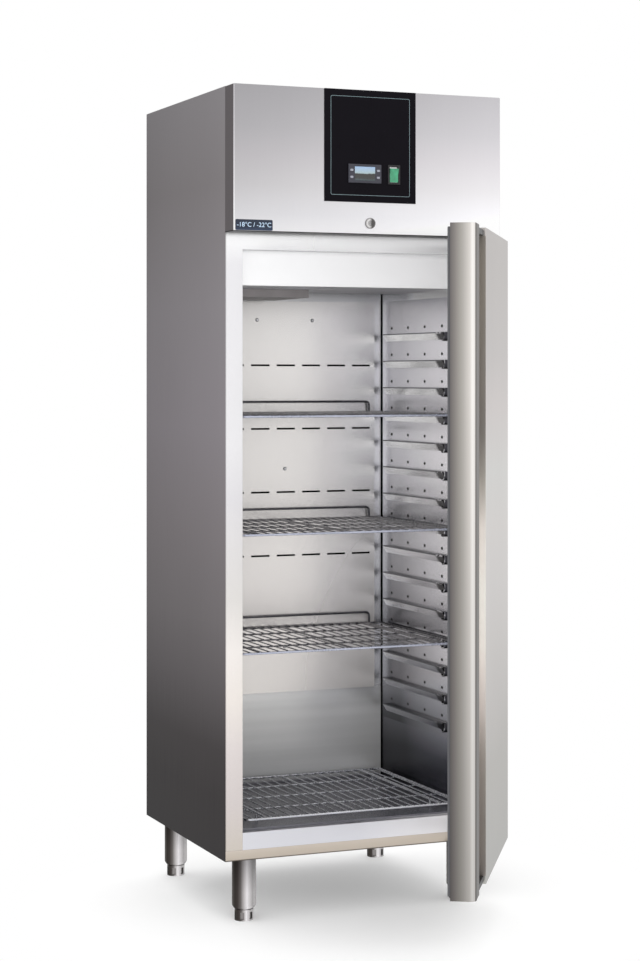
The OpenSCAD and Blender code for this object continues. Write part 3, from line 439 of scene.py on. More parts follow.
class Finish(Tree):
    """A material with a Principled shader, built up from patterns on the object's own coordinates."""

    def __init__(self, name, **sockets):
        self.material = bpy.data.materials.new(name)
        self.material.use_nodes = True
        super().__init__(self.material.node_tree)
        self.shader = self.nodes["Principled BSDF"]
        self.place = self.add("ShaderNodeTexCoord").outputs["Object"]
        self.x, self.y, self.z = self.add("ShaderNodeSeparateXYZ", {"Vector": self.place}).outputs
        for key, value in sockets.items():
            self.shader.inputs[key.replace("_", " ")].default_value = value

    def noise(self, grains, detail=2.0, rough=0.5):
        """A noise with so many grains per metre along X, Y and Z, or as many along all three."""
        scale = grains if isinstance(grains, tuple) else (grains,) * 3
        place = self.add("ShaderNodeMapping", {"Vector": self.place, "Scale": scale}).outputs[0]
        return self.add("ShaderNodeTexNoise", {"Vector": place, "Scale": 1.0, "Detail": detail,
                                               "Roughness": rough}).outputs[0]

    def between(self, value, low, high, soft=0.0005):
        """1 where the value lies between two limits, else 0."""
        return self.product(self.rise(value, low - soft, low), self.fall(value, high, high + soft))

    def vector(self, kind, first, second):
        return self.add("ShaderNodeVectorMath", {0: first, 1: tuple(second)}, operation=kind).outputs

    def toward(self, direction, start):
        """How far a point lies from the start in a direction."""
        return self.vector("DOT_PRODUCT", self.vector("SUBTRACT", self.place, start)[0], direction)["Value"]

    def facing(self, direction, normal="True Normal"):
        """How far the surface looks in a direction, from -1 to 1."""
        normal = self.add("ShaderNodeNewGeometry").outputs[normal]
        return self.vector("DOT_PRODUCT", normal, direction)["Value"]

    def distance(self, first, second):
        """The root of the sum of two squares."""
        squares = self.calc("ADD", self.calc("POWER", first, 2), self.calc("POWER", second, 2))
        return self.calc("POWER", squares, 0.5)

    def bands(self, value, stops):
        """A colour from stops of (value, linear colour)."""
        start, end = stops[0][0], stops[-1][0]
        ramp = self.add("ShaderNodeValToRGB", {"Fac": self.rise(value, start, end)})
        elements = ramp.color_ramp.elements
        while len(elements) < len(stops):
            elements.new(0.5)
        for element, (at, shade) in zip(elements, stops):
            element.position = (at - start) / (end - start)
            element.color = (*shade, 1)
        return ramp.outputs[0]

    def ramp(self, value, *stops):
        """A colour from stops of (value, red, green, blue) in the numbers of a colour picker."""
        return self.bands(value, [(at, tone(*shade)) for at, *shade in stops])

    def mix(self, first, second, factor, kind="MIX"):
        first, second = (c if isinstance(c, bpy.types.NodeSocket) else (*c, 1) for c in (first, second))
        return self.add("ShaderNodeMix", {0: factor, 6: first, 7: second}, data_type="RGBA", blend_type=kind,
                        clamp_result=True).outputs[2]

    def times(self, shade, *factors):
        for factor in factors:
            shade = self.mix(shade, factor, 1.0, "MULTIPLY")
        return shade

    def tint(self, tone_of, factor):
        """The base colour: a colour, or what a function builds from the place, times a factor."""
        self.feed("Base Color", self.times(tone_of(self) if callable(tone_of) else tone_of, factor))

    def feed(self, name, socket):
        """Drives one of the shader's inputs."""
        self.links.new(socket, self.shader.inputs[name])

    def bump(self, height, strength, distance):
        bump = self.add("ShaderNodeBump", {"Height": height, "Strength": strength, "Distance": distance})
        self.feed("Normal", bump.outputs[0])


def satin_steel(name, tone_of, rough=0.3, grain=(700, 700, 5), clouds=0.03, edge=0.5, brush=0.02):
    """Brushed stainless sheet: long fine grain and faint clouds over a tone. The tone is a colour, or comes
    from a function that builds it from the place on the sheet. Edge tints what grazing light shows."""
    f = Finish(name, Metallic=1.0, Specular_Tint=(edge, edge, edge, 1))
    fine = f.noise(grain, 3, 0.6)
    wide = f.noise((2.3, 2.3, 1.3), 3)
    contrast = 1.2 * brush
    both = f.product(f.spread(fine, 1 - contrast, 1 + contrast, *FINE),
                     f.spread(wide, 1 - clouds, 1 + clouds, *SOFT))
    f.tint(tone_of, both)
    f.feed("Roughness", f.spread(fine, rough - 2 * brush, rough + 2 * brush, *FINE))
    f.bump(fine, brush, 0.0001)
    return f.material


def side_tone(f):
    """Grey above, darker towards the floor and the back."""
    shade = f.ramp(
        f.z, (0.155, 44, 40, 41), (0.3, 48, 43, 44), (0.42, 60, 55, 56), (0.58, 96, 91, 93),
        (0.73, 115, 110, 112), (0.95, 128, 122, 125), (1.2, 140, 134, 139), (1.5, 141, 136, 140),
        (1.8, 131, 126, 128), (2.03, 140, 136, 139))
    return f.times(shade, f.spread(f.y, 1.07, 0.78, FRONT, BACK))


def front_tone(f):
    """Lighter downwards and to the right, with a dark return and a bright fold at its left edge."""
    low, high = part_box("fascia")
    # Painted light, lighter downwards
    front = f.ramp(
        f.z, (1.676, 232, 231, 233), (1.72, 217, 216, 219), (1.79, 202, 200, 202), (1.86, 191, 188, 191),
        (1.93, 179, 177, 180), (2.03, 168, 166, 169))
    # Painted light to the right, and a painted highlight on the fold at the left edge
    lit_to_right = f.spread(f.x, 1.0, 1.46, low.x, high.x)
    fold = f.spread(f.x, 1.5, 1.0, low.x + 0.0024, low.x + 0.0036)
    # Painted shade on the left return, which takes the dark grey below, and on the underside
    past_shaded_return = f.rise(f.x, low.x + 0.0004, low.x + 0.001)
    underside_shade = f.spread(f.z, 0.1, 1.0, low.z + 0.002, low.z + 0.003)
    return f.times(f.mix(tone(106, 101, 103), f.times(front, lit_to_right, fold), past_shaded_return), underside_shade)


def frame_tone(f):
    """Pale jambs, warmer and darker towards the floor, and a head that is less of a mirror to the right."""
    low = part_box("front_frame")[0]
    head = f.product(f.rise(f.z, 1.57, 1.62), f.rise(f.x, low.x + 0.1, low.x + 0.4))
    f.feed("Metallic", f.spread(head, 1.0, 0.4))
    shade = f.ramp(
        f.z, (0.18, 212, 204, 195), (0.29, 220, 212, 210), (0.42, 231, 223, 221), (0.54, 246, 239, 233),
        (0.66, 250, 245, 241), (0.79, 232, 229, 226), (1.03, 232, 230, 233), (1.16, 242, 241, 243),
        (1.6, 240, 239, 242), (1.65, 252, 252, 253))
    # Painted shade along the jamb's left edge
    return f.times(shade, f.spread(f.x, 0.72, 1.0, low.x + 0.0004, low.x + 0.003))


def door_tone(f):
    """Shaded free edge, bright rounded corner, dark lip beside the grip, and a pale outer face."""
    low, high = shut_box("door_skin")
    across, depth = (OPEN @ Vector(d) for d in ((1, 0, 0), (0, 1, 0)))
    x, y = f.toward(across, PIN), f.toward(depth, PIN)
    # Painted light on the outer face, brightest about a metre up
    face = f.ramp(
        f.z, (0.16, 180, 179, 175), (0.42, 187, 184, 179), (0.56, 201, 197, 194), (0.7, 212, 208, 205),
        (0.83, 220, 216, 214), (0.97, 226, 222, 219), (1.1, 226, 225, 222), (1.25, 222, 215, 213),
        (1.38, 209, 204, 202), (1.6, 202, 197, 194))
    back, lip = high.y - PIN.y, low.y + sizes().door_lip - PIN.y
    # Across the free edge: painted shade on the lip, a painted highlight on the rounded corner, shade towards
    # the back
    edge = f.ramp(
        y, (lip, 100, 95, 91), (lip + 0.0012, 112, 107, 103), (lip + 0.003, 240, 236, 232),
        (lip + 0.0085, 250, 247, 243), (lip + 0.0135, 220, 215, 210), (back - 0.03, 184, 180, 175),
        (back - 0.022, 167, 163, 157), (back - 0.010, 139, 134, 131), (back, 113, 109, 108))
    # Painted shade, darker towards the floor
    edge = f.times(edge, f.spread(f.z, 0.62, 1.0, 0.16, 1.3))
    recess = low.x + 0.1 - PIN.x
    return f.mix(edge, face, f.rise(x, recess - 0.01, recess))


def recess_tone(f):
    """Dark lining with the pale reflection half way up."""
    return f.ramp(
        f.z, (0.3, 180, 173, 167), (0.45, 200, 194, 188), (0.56, 236, 230, 226), (0.7, 254, 250, 246),
        (0.85, 255, 252, 248), (0.98, 250, 246, 242), (1.1, 206, 202, 196), (1.2, 176, 171, 166),
        (1.5, 184, 178, 170))


def liner_tone(f):
    """Bright walls, dark low down at the sides, with shade behind the air duct and the rail panels' holes."""
    duct, left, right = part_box("rear_duct"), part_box("left_rail_panel"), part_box("right_rail_panel")
    low, high = duct
    x, y, z = f.x, f.y, f.z

    def within(box, axis, rim=0.004):
        return f.between((x, y, z)[axis], box[0][axis] + rim, box[1][axis] - rim)

    streaks = f.spread(f.noise((0.6, 1.0, 34), 2), 0.95, 1.05, 0.35, 0.65)
    # Back wall: a painted shade line at the floor, then bright
    back = f.ramp(
        z, (0.227, 132, 132, 139), (0.235, 228, 228, 228), (0.46, 246, 246, 245), (0.5, 253, 253, 252),
        (1.525, 253, 253, 252), (1.535, 240, 240, 242), (1.62, 226, 226, 229))
    # Painted shade over the low left of the back wall
    shaded_low_left = f.product(f.fall(x, low.x + 0.2, low.x + 0.48), f.fall(z, 0.47, 0.475))
    back = f.times(back, streaks, f.spread(shaded_low_left, 1.0, 0.78))
    # Side walls: painted shade, dark low down
    side = f.ramp(
        z, (0.227, 92, 92, 98), (0.232, 44, 44, 50), (0.33, 58, 58, 64), (0.42, 104, 104, 110),
        (0.5, 150, 150, 156), (1.6, 206, 206, 210))
    # Painted light, stronger near the opening
    side = f.times(side, f.spread(y, 4.5, 1.0, FRONT + 0.12, FRONT + 0.42))
    at_side = f.largest(f.fall(x, left[0].x + 0.0005, left[0].x + 0.001),
                        f.rise(x, right[1].x - 0.001, right[1].x - 0.0005))
    f.feed("Metallic", f.spread(f.largest(at_side, f.between(z, 0.52, 1.52, 0.12)), 0.35, 1.0))
    # Where dark painted shade goes: behind the duct, behind the rail panels' holes, and the back right corner
    behind = f.product(f.rise(y, high.y - 0.002, high.y - 0.001), within(duct, X), within(duct, Z))
    holes = f.product(at_side, within(left, Y), within(left, Z))
    corner = f.product(f.rise(x, right[1].x - 0.0035, right[1].x - 0.003),
                       f.rise(y, high.y - 0.005, high.y - 0.004))
    # The near-black is painted shade in those places
    return f.mix(f.mix(back, side, at_side), tone(26, 25, 24), f.largest(behind, holes, corner))


def duct_tone(f):
    """Warm white, darker to the left, and less of a mirror at the lower right."""
    low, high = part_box("rear_duct")
    low_right = f.product(f.rise(f.x, low.x + 0.2, high.x), f.fall(f.z, 0.55, 1.2))
    f.feed("Metallic", f.spread(low_right, 1.0, 0.4))
    shade = f.ramp(
        f.z, (low.z, 244, 240, 236), (0.7, 252, 248, 245), (1.0, 254, 251, 248), (high.z, 255, 253, 251))
    return f.times(shade, f.spread(f.x, 0.76, 1.0, low.x + 0.15, low.x + 0.36))


def rails_tone(f):
    """Grey panels with dark-rimmed holes, and rails with a dark top and hook and a bright underside."""
    low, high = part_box("left_rail_panel")
    x, y, z = f.x, f.y, f.z
    # Panel walls deeper in: painted shade, darker low down
    behind = f.ramp(
        z, (0.389, 52, 52, 58), (0.43, 72, 72, 78), (0.5, 116, 116, 123), (0.62, 130, 130, 137),
        (0.82, 150, 150, 156), (1.15, 190, 189, 196), (1.4, 180, 179, 186), (1.54, 178, 177, 183))
    behind = f.times(behind, f.spread(y, 1.0, 1.35, FRONT + 0.5, FRONT + 0.56))
    # Panel walls near the front: painted light
    ahead = f.ramp(
        z, (0.389, 180, 180, 187), (0.62, 226, 226, 233), (0.82, 232, 232, 238), (1.15, 238, 237, 243),
        (1.54, 230, 229, 236))
    walls = f.mix(ahead, behind, f.rise(y, low.y + 0.06, low.y + 0.36))
    # Painted light on the rails' undersides
    under = f.ramp(z, (0.4, 210, 210, 216), (0.75, 236, 236, 242), (1.54, 248, 248, 250))

    # How far a place lies from the cabinet's middle, and where the walls of the panels and their rails end
    middle = (low.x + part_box("right_rail_panel")[1].x) / 2
    wall, rail_end = middle - low.x, middle - high.x
    away = f.calc("ABSOLUTE", f.calc("SUBTRACT", x, middle), 0)
    on_rail = f.fall(away, wall - 0.0022, wall - 0.0016)

    # The holes lie on a lattice of even steps in depth and height
    first_y, step_y, last_y = low.y + 0.09, (high.y - low.y - 0.15) / 3, high.y - 0.06
    first_z, step_z = low.z + 0.056, 0.0725
    hole_r, margin = 0.0036, 0.02

    def from_hole(value, first, step):
        lattice = f.calc("DIVIDE", f.calc("SUBTRACT", value, first), step)
        return f.product(f.calc("PINGPONG", lattice, 0.5), step)

    reach = f.distance(f.product(from_hole(y, first_y, step_y), 0.62), from_hole(z, first_z, step_z))
    hole_shade = f.product(f.fall(reach, hole_r, hole_r + 0.001), f.fall(on_rail, 0, 1),
                     f.between(y, first_y - margin, last_y + margin),
                     f.between(z, first_z - margin, high.z - 2 * margin))
    up = f.facing((0, 0, 1))
    shade = f.mix(walls, under, f.product(on_rail, f.fall(up, -0.5, -0.2)))
    # Painted shade on the rails' tops
    shade = f.mix(shade, tone(96, 96, 101), f.product(on_rail, f.rise(up, -0.2, -0.1)))
    # Painted shade on the rails' front hooks, with a painted glint near their ends
    hook = f.product(on_rail, f.fall(y, low.y + 0.094, low.y + 0.11))
    bright = f.product(hook, f.fall(away, rail_end + 0.0005, rail_end + 0.001),
                       f.rise(f.noise((900, 90, 90), 1.0), 0.52, 0.56))
    shade = f.mix(shade, tone(76, 75, 79), hook)
    # The near-black round the holes is painted shade
    return f.mix(f.mix(shade, tone(214, 214, 220), bright), tone(34, 33, 34), hole_shade)


def wire_tone(f, front, side, rest, low, high):
    """Wires that reflect a dark room, with a front rod and a right side of their own tones."""
    front_rod = f.fall(f.y, low.y + 0.0065, low.y + 0.007)
    right_side = f.rise(f.x, high.x - 0.007, high.x - 0.0065)
    return f.mix(f.mix(rest, front, front_rod), side, right_side)


def shelf_tone(f):
    # Shelves: painted light on the front rod, painted shade on the right side
    return wire_tone(f, tone(196, 200, 216), tone(52, 52, 58), tone(104, 103, 107), *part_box("upper_shelf"))


def grid_tone(f):
    # Floor grid: paler painted reflections, and painted light on the front rod
    return wire_tone(f, tone(222, 223, 228), tone(200, 200, 206), tone(194, 195, 200), *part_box("floor_grid"))


def sill_tone(f):
    """Pale strip, brighter and less of a mirror to the right."""
    low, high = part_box("sill")
    right = f.rise(f.x, low.x + 0.3, high.x - 0.1)
    f.feed("Metallic", f.spread(right, 1.0, 0.4))
    return f.mix(tone(230, 230, 236), tone(250, 248, 250), right)


def plinth_tone(f):
    """Warm strip in front with a dark lower edge, neutral sheet below."""
    strip = f.ramp(
        f.z, (0.155, 92, 86, 80), (0.1565, 100, 92, 84), (0.1585, 202, 191, 178), (0.17, 208, 197, 184),
        (0.18, 216, 205, 194))
    return f.mix(strip, tone(190, 190, 190), f.rise(f.y, FRONT + 0.002, FRONT + 0.003))


def lock_tone(f):
    """Dark ring round a lighter one, shaded on its right."""
    low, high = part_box("lock_housing")
    x = f.calc("SUBTRACT", f.x, (low.x + high.x) / 2)
    reach = f.distance(x, f.calc("SUBTRACT", f.z, (low.z + high.z) / 2))
    radius = (high.x - low.x) / 2
    rings = f.ramp(
        reach, (0, 150, 148, 148), (radius * 0.3, 170, 168, 168), (radius * 0.55, 232, 230, 230),
        (radius * 0.75, 186, 184, 184), (radius * 0.92, 92, 90, 90), (radius, 86, 84, 84))
    # Painted shade on the right of the inner ring
    right = f.product(f.rise(x, -0.002, 0.004), f.fall(reach, radius * 0.75, radius * 0.8))
    return f.mix(rings, tone(96, 94, 94), right)


def leg_tone(f):
    """Polished round tube: a dark stripe on one side and a bright one in front, darker to the top."""
    highlight_side = (0.9157, -0.4019, 0)
    around = f.ramp(
        f.facing(highlight_side, "Normal"), (-1.0, 100, 97, 94), (-0.72, 52, 49, 46), (-0.45, 62, 57, 55),
        (-0.2, 98, 94, 92), (0.08, 178, 174, 174), (0.32, 222, 219, 221), (0.52, 196, 193, 194),
        (0.76, 158, 156, 156), (1.0, 186, 184, 184))
    # Painted shade under the cabinet, darker to the top
    return f.times(around, f.spread(f.z, 1.15, 0.5, 0.07, 0.155))


def moulded(name, shade, rough=0.45, grain=900, bump=0.12, wear=0.12, **sockets):
    """Moulded plastic or rubber with a fine grain and slightly uneven tone."""
    f = Finish(name, **sockets)
    fine = f.noise(grain, 2)
    wide = f.noise(14, 4)
    f.tint(shade, f.spread(wide, 1 - wear, 1 + wear, *SOFT))
    f.feed("Roughness", f.spread(wide, rough - 0.06, rough + 0.08, *SOFT))
    f.bump(fine, bump, 0.0003)
    return f.material


def bare_metal(name, tone_of, rough=0.35, grain=160, clouds=0.12):
    """Plated, cast or drawn metal with mottled tone."""
    f = Finish(name, Metallic=1.0)
    fine = f.noise(grain, 4)
    wide = f.noise(9, 3)
    f.tint(tone_of, f.spread(wide, 1 - clouds, 1 + clouds, *SOFT))
    f.feed("Roughness", f.spread(fine, rough - 0.08, rough + 0.1, *FINE))
    f.bump(fine, 0.06, 0.0002)
    return f.material


def spangled(f):
    """Crystals of a hot-dip coating, each a little lighter or darker."""
    cells = f.add("ShaderNodeTexVoronoi", {"Vector": f.place, "Scale": 55}).outputs["Color"]
    level = f.add("ShaderNodeSeparateXYZ", {"Vector": cells}).outputs[0]
    return f.times(colours().zinc, f.spread(level, 0.9, 1.06))


def label_finish():
    """Printed film: dark blue with a lighter blue glow along its lower edge."""
    low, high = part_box("range_label")
    f = Finish("Temperature label", Roughness=0.25)
    base = Vector(colours().label)
    glow_top = low.z + 0.3 * (high.z - low.z)
    stops = [(low.z, tuple(base * 2.4)), (glow_top, tuple(base * 1.2)), (high.z, tuple(base))]
    soft = f.noise((40, 40, 160), 3)
    f.tint(f.bands(f.z, stops), f.spread(soft, 0.85, 1.2, *SOFT))
    return f.material


def screen_finish():
    """Display window: a pale upper half over a dark lower one, both a little uneven."""
    low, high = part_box("controller_screen")
    middle = (low.z + high.z) / 2
    f = Finish("Display window", Roughness=0.12, Coat_Weight=0.6)
    wavy = f.calc("ADD", f.z, f.spread(f.noise(60, 2), -0.003, 0.003))
    f.feed("Base Color", f.ramp(
        wavy, (low.z, 58, 72, 76), (low.z + 0.3 * (middle - low.z), 40, 42, 40),
        (middle - 0.001, 38, 36, 32), (middle + 0.001, 150, 168, 172), (high.z, 142, 168, 200)))
    return f.material


def lens_finish():
    """Translucent green lens, lit from behind a little unevenly."""
    f = Finish("Green lens", Roughness=0.18, Emission_Strength=0.25, Coat_Weight=0.5)
    soft = f.noise(70, 3)
    green = f.times(tuple(colours().lens), f.spread(soft, 0.6, 1.25, *SOFT))
    f.feed("Base Color", green)
    f.feed("Emission Color", green)
    return f.material


def make_finishes():
    """All finishes by the names that the pieces use."""
    c = colours()
    sideways, backwards = (5, 700, 700), (700, 5, 700)
    inner = {"edge": 0.9, "brush": 0.006}
    return {
        "side": satin_steel("Satin steel, sides", side_tone, 0.34, edge=0.6),
        "front": satin_steel("Satin steel, fascia", front_tone, 0.3, clouds=0.04, brush=0.008),
        "jamb": satin_steel("Satin steel, front frame", frame_tone, 0.2, brush=0.008),
        "sill": satin_steel("Satin steel, sill", sill_tone, 0.34, sideways, 0.01, brush=0.003),
        "plinth": satin_steel("Satin steel, bottom", plinth_tone, 0.32, sideways, 0.01, brush=0.003),
        "door": satin_steel("Satin steel, door", door_tone, 0.32, edge=0.75),
        "recess": satin_steel("Satin steel, recess", recess_tone, 0.36, edge=0.7),
        "inside": satin_steel("Satin steel, liner", liner_tone, 0.26, clouds=0.04, **inner),
        "pan": satin_steel("Satin steel, door pan", tone(252, 251, 251), 0.24, clouds=0.04, **inner),
        "duct": satin_steel("Satin steel, duct panel", duct_tone, 0.26, **inner),
        "rails": satin_steel("Satin steel, rails", rails_tone, 0.26, backwards, 0.05, **inner),
        "zinc": bare_metal("Galvanised sheet", spangled, 0.42, 60, 0.03),
        "wire": bare_metal("Plated wire, shelves", shelf_tone, 0.25, 300, 0.08),
        "grid": bare_metal("Plated wire, floor", grid_tone, 0.25, 300, 0.08),
        "chrome": bare_metal("Nickel plate", tone(205, 205, 208), 0.14, 300, 0.05),
        "leg": satin_steel("Turned steel", leg_tone, 0.25, (5, 5, 900), brush=0.006),
        "fins": bare_metal("Bare aluminium", tone(190, 192, 194), 0.4),
        "copper": bare_metal("Copper tube", tone(200, 128, 92), 0.28, 220, 0.18),
        "black_paint": moulded("Black paint", tone(26, 26, 27), 0.32, 500, 0.05),
        "plate": moulded("Satin black plate", c.plate, 0.3, 1200, 0.02, 0.05, Specular_IOR_Level=0.05),
        "outline": moulded("Printed line", c.outline, 0.4, 900, 0.02, 0.06),
        "bezel": moulded("Dark grey plastic", c.bezel, 0.4, Specular_IOR_Level=0.3),
        "black": moulded("Black plastic", tone(22, 22, 24), 0.42),
        "keys": moulded("Soft grey keys", c.keys, 0.5),
        "grey": moulded("Grey plastic", tone(70, 70, 72), 0.5),
        "cover": moulded("Ceiling unit plastic", c.cover, 0.5, bump=0.03),
        "tray": moulded("Drip tray plastic", c.tray, 0.5),
        "box": moulded("Light grey plastic", tone(178, 178, 174), 0.5),
        "white": moulded("White panel", c.panel, 0.4, 700, 0.02, 0.015, Metallic=0.6),
        "rubber": moulded("Black rubber", tone(20, 20, 20), 0.7, 600, 0.2),
        "gasket": moulded("Grey gasket", tone(84, 84, 87), 0.6, 700, 0.1),
        "bush": moulded("White bush", tone(224, 224, 218), 0.4),
        "foam": moulded("Rigid foam", tone(226, 206, 150), 0.9, 260, 0.6, 0.15),
        "label": label_finish(),
        "screen": screen_finish(),
        "lens": lens_finish(),
        "lock": bare_metal("Nickel plate, lock", lock_tone, 0.2, 300, 0.05),
        "print": moulded("Pale print", tone(190, 214, 238), 0.4, 900, 0.02, 0.04),
    }


# Pieces

def build_cabinet():
    """Side panels, front frame, sill, bottom, back, top and the insulation."""
    for side in ("left", "right"):
        eased(f"side_{side}", f"{side}_side_panel", "side", 0.0005)
    for name, node, finish in (
            ("door_frame", "front_frame", "jamb"), ("threshold", "sill", "sill"),
            ("top_lid", "top_cover", "side"), ("base_sheet", "bottom_panel", "plinth"),
            ("back_sheet", "back_panel", "zinc"), ("bay_deck", "bay_floor", "zinc"),
            ("vent_sheet", "rear_grille", "zinc")):
        eased(name, node, finish, 0.0004)
    paint("foam", "cabinet_insulation", "door_insulation")


def build_interior():
    """Liner, rail panels, air duct, screws and the head panel."""
    eased("liner", "inner_liner", "inside", 0.0004)

    low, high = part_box("rear_duct")
    duct = from_frame("air_duct", "rear_duct")
    corners = [(x, z) for x in (low.x, high.x) for z in (low.z, high.z)]
    bevel(duct, lambda e: along(e, Y) and any(on(e, X, x) and on(e, Z, z) for x, z in corners),
          sizes().corner, 6)
    ease(duct, 0.0005)
    dress(duct, "duct", ["rear_duct"])

    for side in ("left", "right"):
        eased(f"rails_{side}", f"{side}_rail_panel", "rails", 0.0007)
    eased("head_cover", "inner_head_panel", "white", 0.0008)
    paint("chrome", "duct_screws")


def wire_shelf(name, low, high, top, stop):
    """Rim with bent corners, cross wires, thick bars, thin wires from front to back and a raised stop."""
    s = sizes()
    d, thin = s.rim_wire, s.thin_wire
    bite, cross = 0.0008, thin + 0.001  # the depth of a weld, and the diameter of the cross wires
    mid_z = top - d / 2
    x0, x1, y0, y1 = low.x + d / 2, high.x - d / 2, low.y + d / 2, high.y - d / 2
    rim = [(x0, y0, mid_z), (x1, y0, mid_z), (x1, y1, mid_z), (x0, y1, mid_z)]
    parts = [wire("rim", rim, d, s.wire_bend, True)]
    for k in (1, 2, 3):
        y = low.y + (high.y - low.y) * k / 4
        parts.append(wire("cross", [(x0, y, mid_z - bite), (x1, y, mid_z - bite)], cross))
    middle = (low.x + high.x) / 2
    bars = [low.x + s.bar_in, middle, high.x - s.bar_in]
    for x in bars:
        parts.append(wire("bar", [(x, y0, mid_z), (x, y1, mid_z)], d))
    thin_z = mid_z + thin / 2 + bite
    one = wire("thin", [(0, y0, thin_z), (0, y1, thin_z)], thin)
    steps = int((x1 - x0 - d) / 2 / s.wire_step)
    for k in range(-steps, steps + 1):
        x = middle + k * s.wire_step
        if min(abs(x - b) for b in bars) > d:
            parts.append(copy(one, "thin", (x, 0, 0)))
    bpy.data.objects.remove(one)
    if stop:
        left, right, up = low.x + s.stop_in, high.x - s.stop_in, high.z - d / 2
        path = [(left, y1, mid_z), (left, y1, up), (right, y1, up), (right, y1, mid_z)]
        parts.append(wire("stop", path, d, s.stop_bend))
    return join(name, parts)


def build_shelves():
    """Three wire shelves and the grid on the floor."""
    s = sizes()
    low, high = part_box("upper_shelf")
    first = wire_shelf("shelf_upper", low, high, high.z - s.stop_rise, True)
    for name, node in (("shelf_middle", "middle_shelf"), ("shelf_lower", "lower_shelf")):
        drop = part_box(node)[1].z - high.z
        dress(copy(first, name, (0, 0, drop)), "wire", [node], node)
    dress(first, "wire", ["upper_shelf"], "upper_shelf")

    low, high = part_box("floor_grid")
    grid = wire_shelf("grid", low, high, high.z, False)
    feet = [wire("foot", [(x, y, low.z), (x, y, high.z - s.rim_wire / 2)], s.rim_wire)
            for x in (low.x + s.bar_in, high.x - s.bar_in)
            for y in (low.y + s.grid_foot_in, high.y - s.grid_foot_in)]
    dress(join("grid", [grid] + feet), "grid", ["floor_grid"])


def build_fascia():
    """The folded fascia with its black control plate and printed line."""
    s = sizes()
    low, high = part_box("fascia")
    shell = block("fascia_shell", low, high)
    bevel(shell, lambda e: not on(e, Y, high.y), s.fold, 4)
    remove_faces(shell, lambda f: faces_to(f, Y, 1))
    thicken(shell, s.sheet)
    dress(shell, "front", ["fascia"])
    eased("black_plate", "control_plate", "plate", 0.0006)

    low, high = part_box("control_plate")
    n, proud, sunk = s.outline_in, 0.0002, 0.0004
    a = Vector((low.x + n, low.y - proud, low.z + n))
    b = Vector((high.x - n, low.y + sunk, high.z - n))
    line = block("plate_line", a, b)
    bevel(line, lambda e: along(e, Y), s.outline_r, 4)
    for sign in (-1, 1):
        inset(line, lambda f: faces_to(f, Y, sign), s.outline_w)
    half = 0.5 * (b.x - a.x) * (b.z - a.z)
    pick(line, "FACE", lambda f: abs(f.normal.y) > 0.99 and f.calc_area() > half)
    bpy.ops.mesh.bridge_edge_loops()
    leave()
    dress(line, "outline")


def build_controls():
    """Controller with its screen and keys, and the lit rocker switch."""
    eased("controller_case", "controller_body", "bezel", 0.0012, 3)
    eased("controller_glass", "controller_screen", "screen", 0.0004)
    for k in range(1, 5):
        key = block(f"key_cap_{k}", *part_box(f"key_{k}"))
        bevel(key, lambda e: along(e, Y), sizes().key_r, 4)
        ease(key, 0.0005, angle=50)
        dress(key, "keys", [f"key_{k}"], f"key_{k}")
    eased("switch_frame", "switch_bezel", "black", 0.001, 3)
    eased("switch_lens", "switch_rocker", "lens", 0.0008, 3, "switch_rocker")


def build_lock():
    """Key lock and the temperature label."""
    s = sizes()
    eased("lock_ring", "lock_housing", "lock", 0.0008, 3)
    eased("lock_core", "lock_cylinder", "lock", 0.0003, body="lock_cylinder")

    low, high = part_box("range_label")
    label = block("temperature_label", low, high)
    bevel(label, lambda e: along(e, Y), s.label_r, 5)
    ease(label, 0.0003, angle=50)
    dress(label, "label", ["range_label"])
    ink = 0.0001
    select_only()
    bpy.ops.object.text_add(location=((low.x + high.x) / 2, low.y - ink, (low.z + high.z) / 2),
                            rotation=(math.pi / 2, 0, 0))
    text = bpy.context.object.data
    text.body = "-18°C / -22°C"
    text.align_x, text.align_y = "CENTER", "CENTER"
    text.size = s.text_h
    text.extrude = ink
    bpy.ops.object.convert(target="MESH")
    dress(named("temperature_text"), "print")


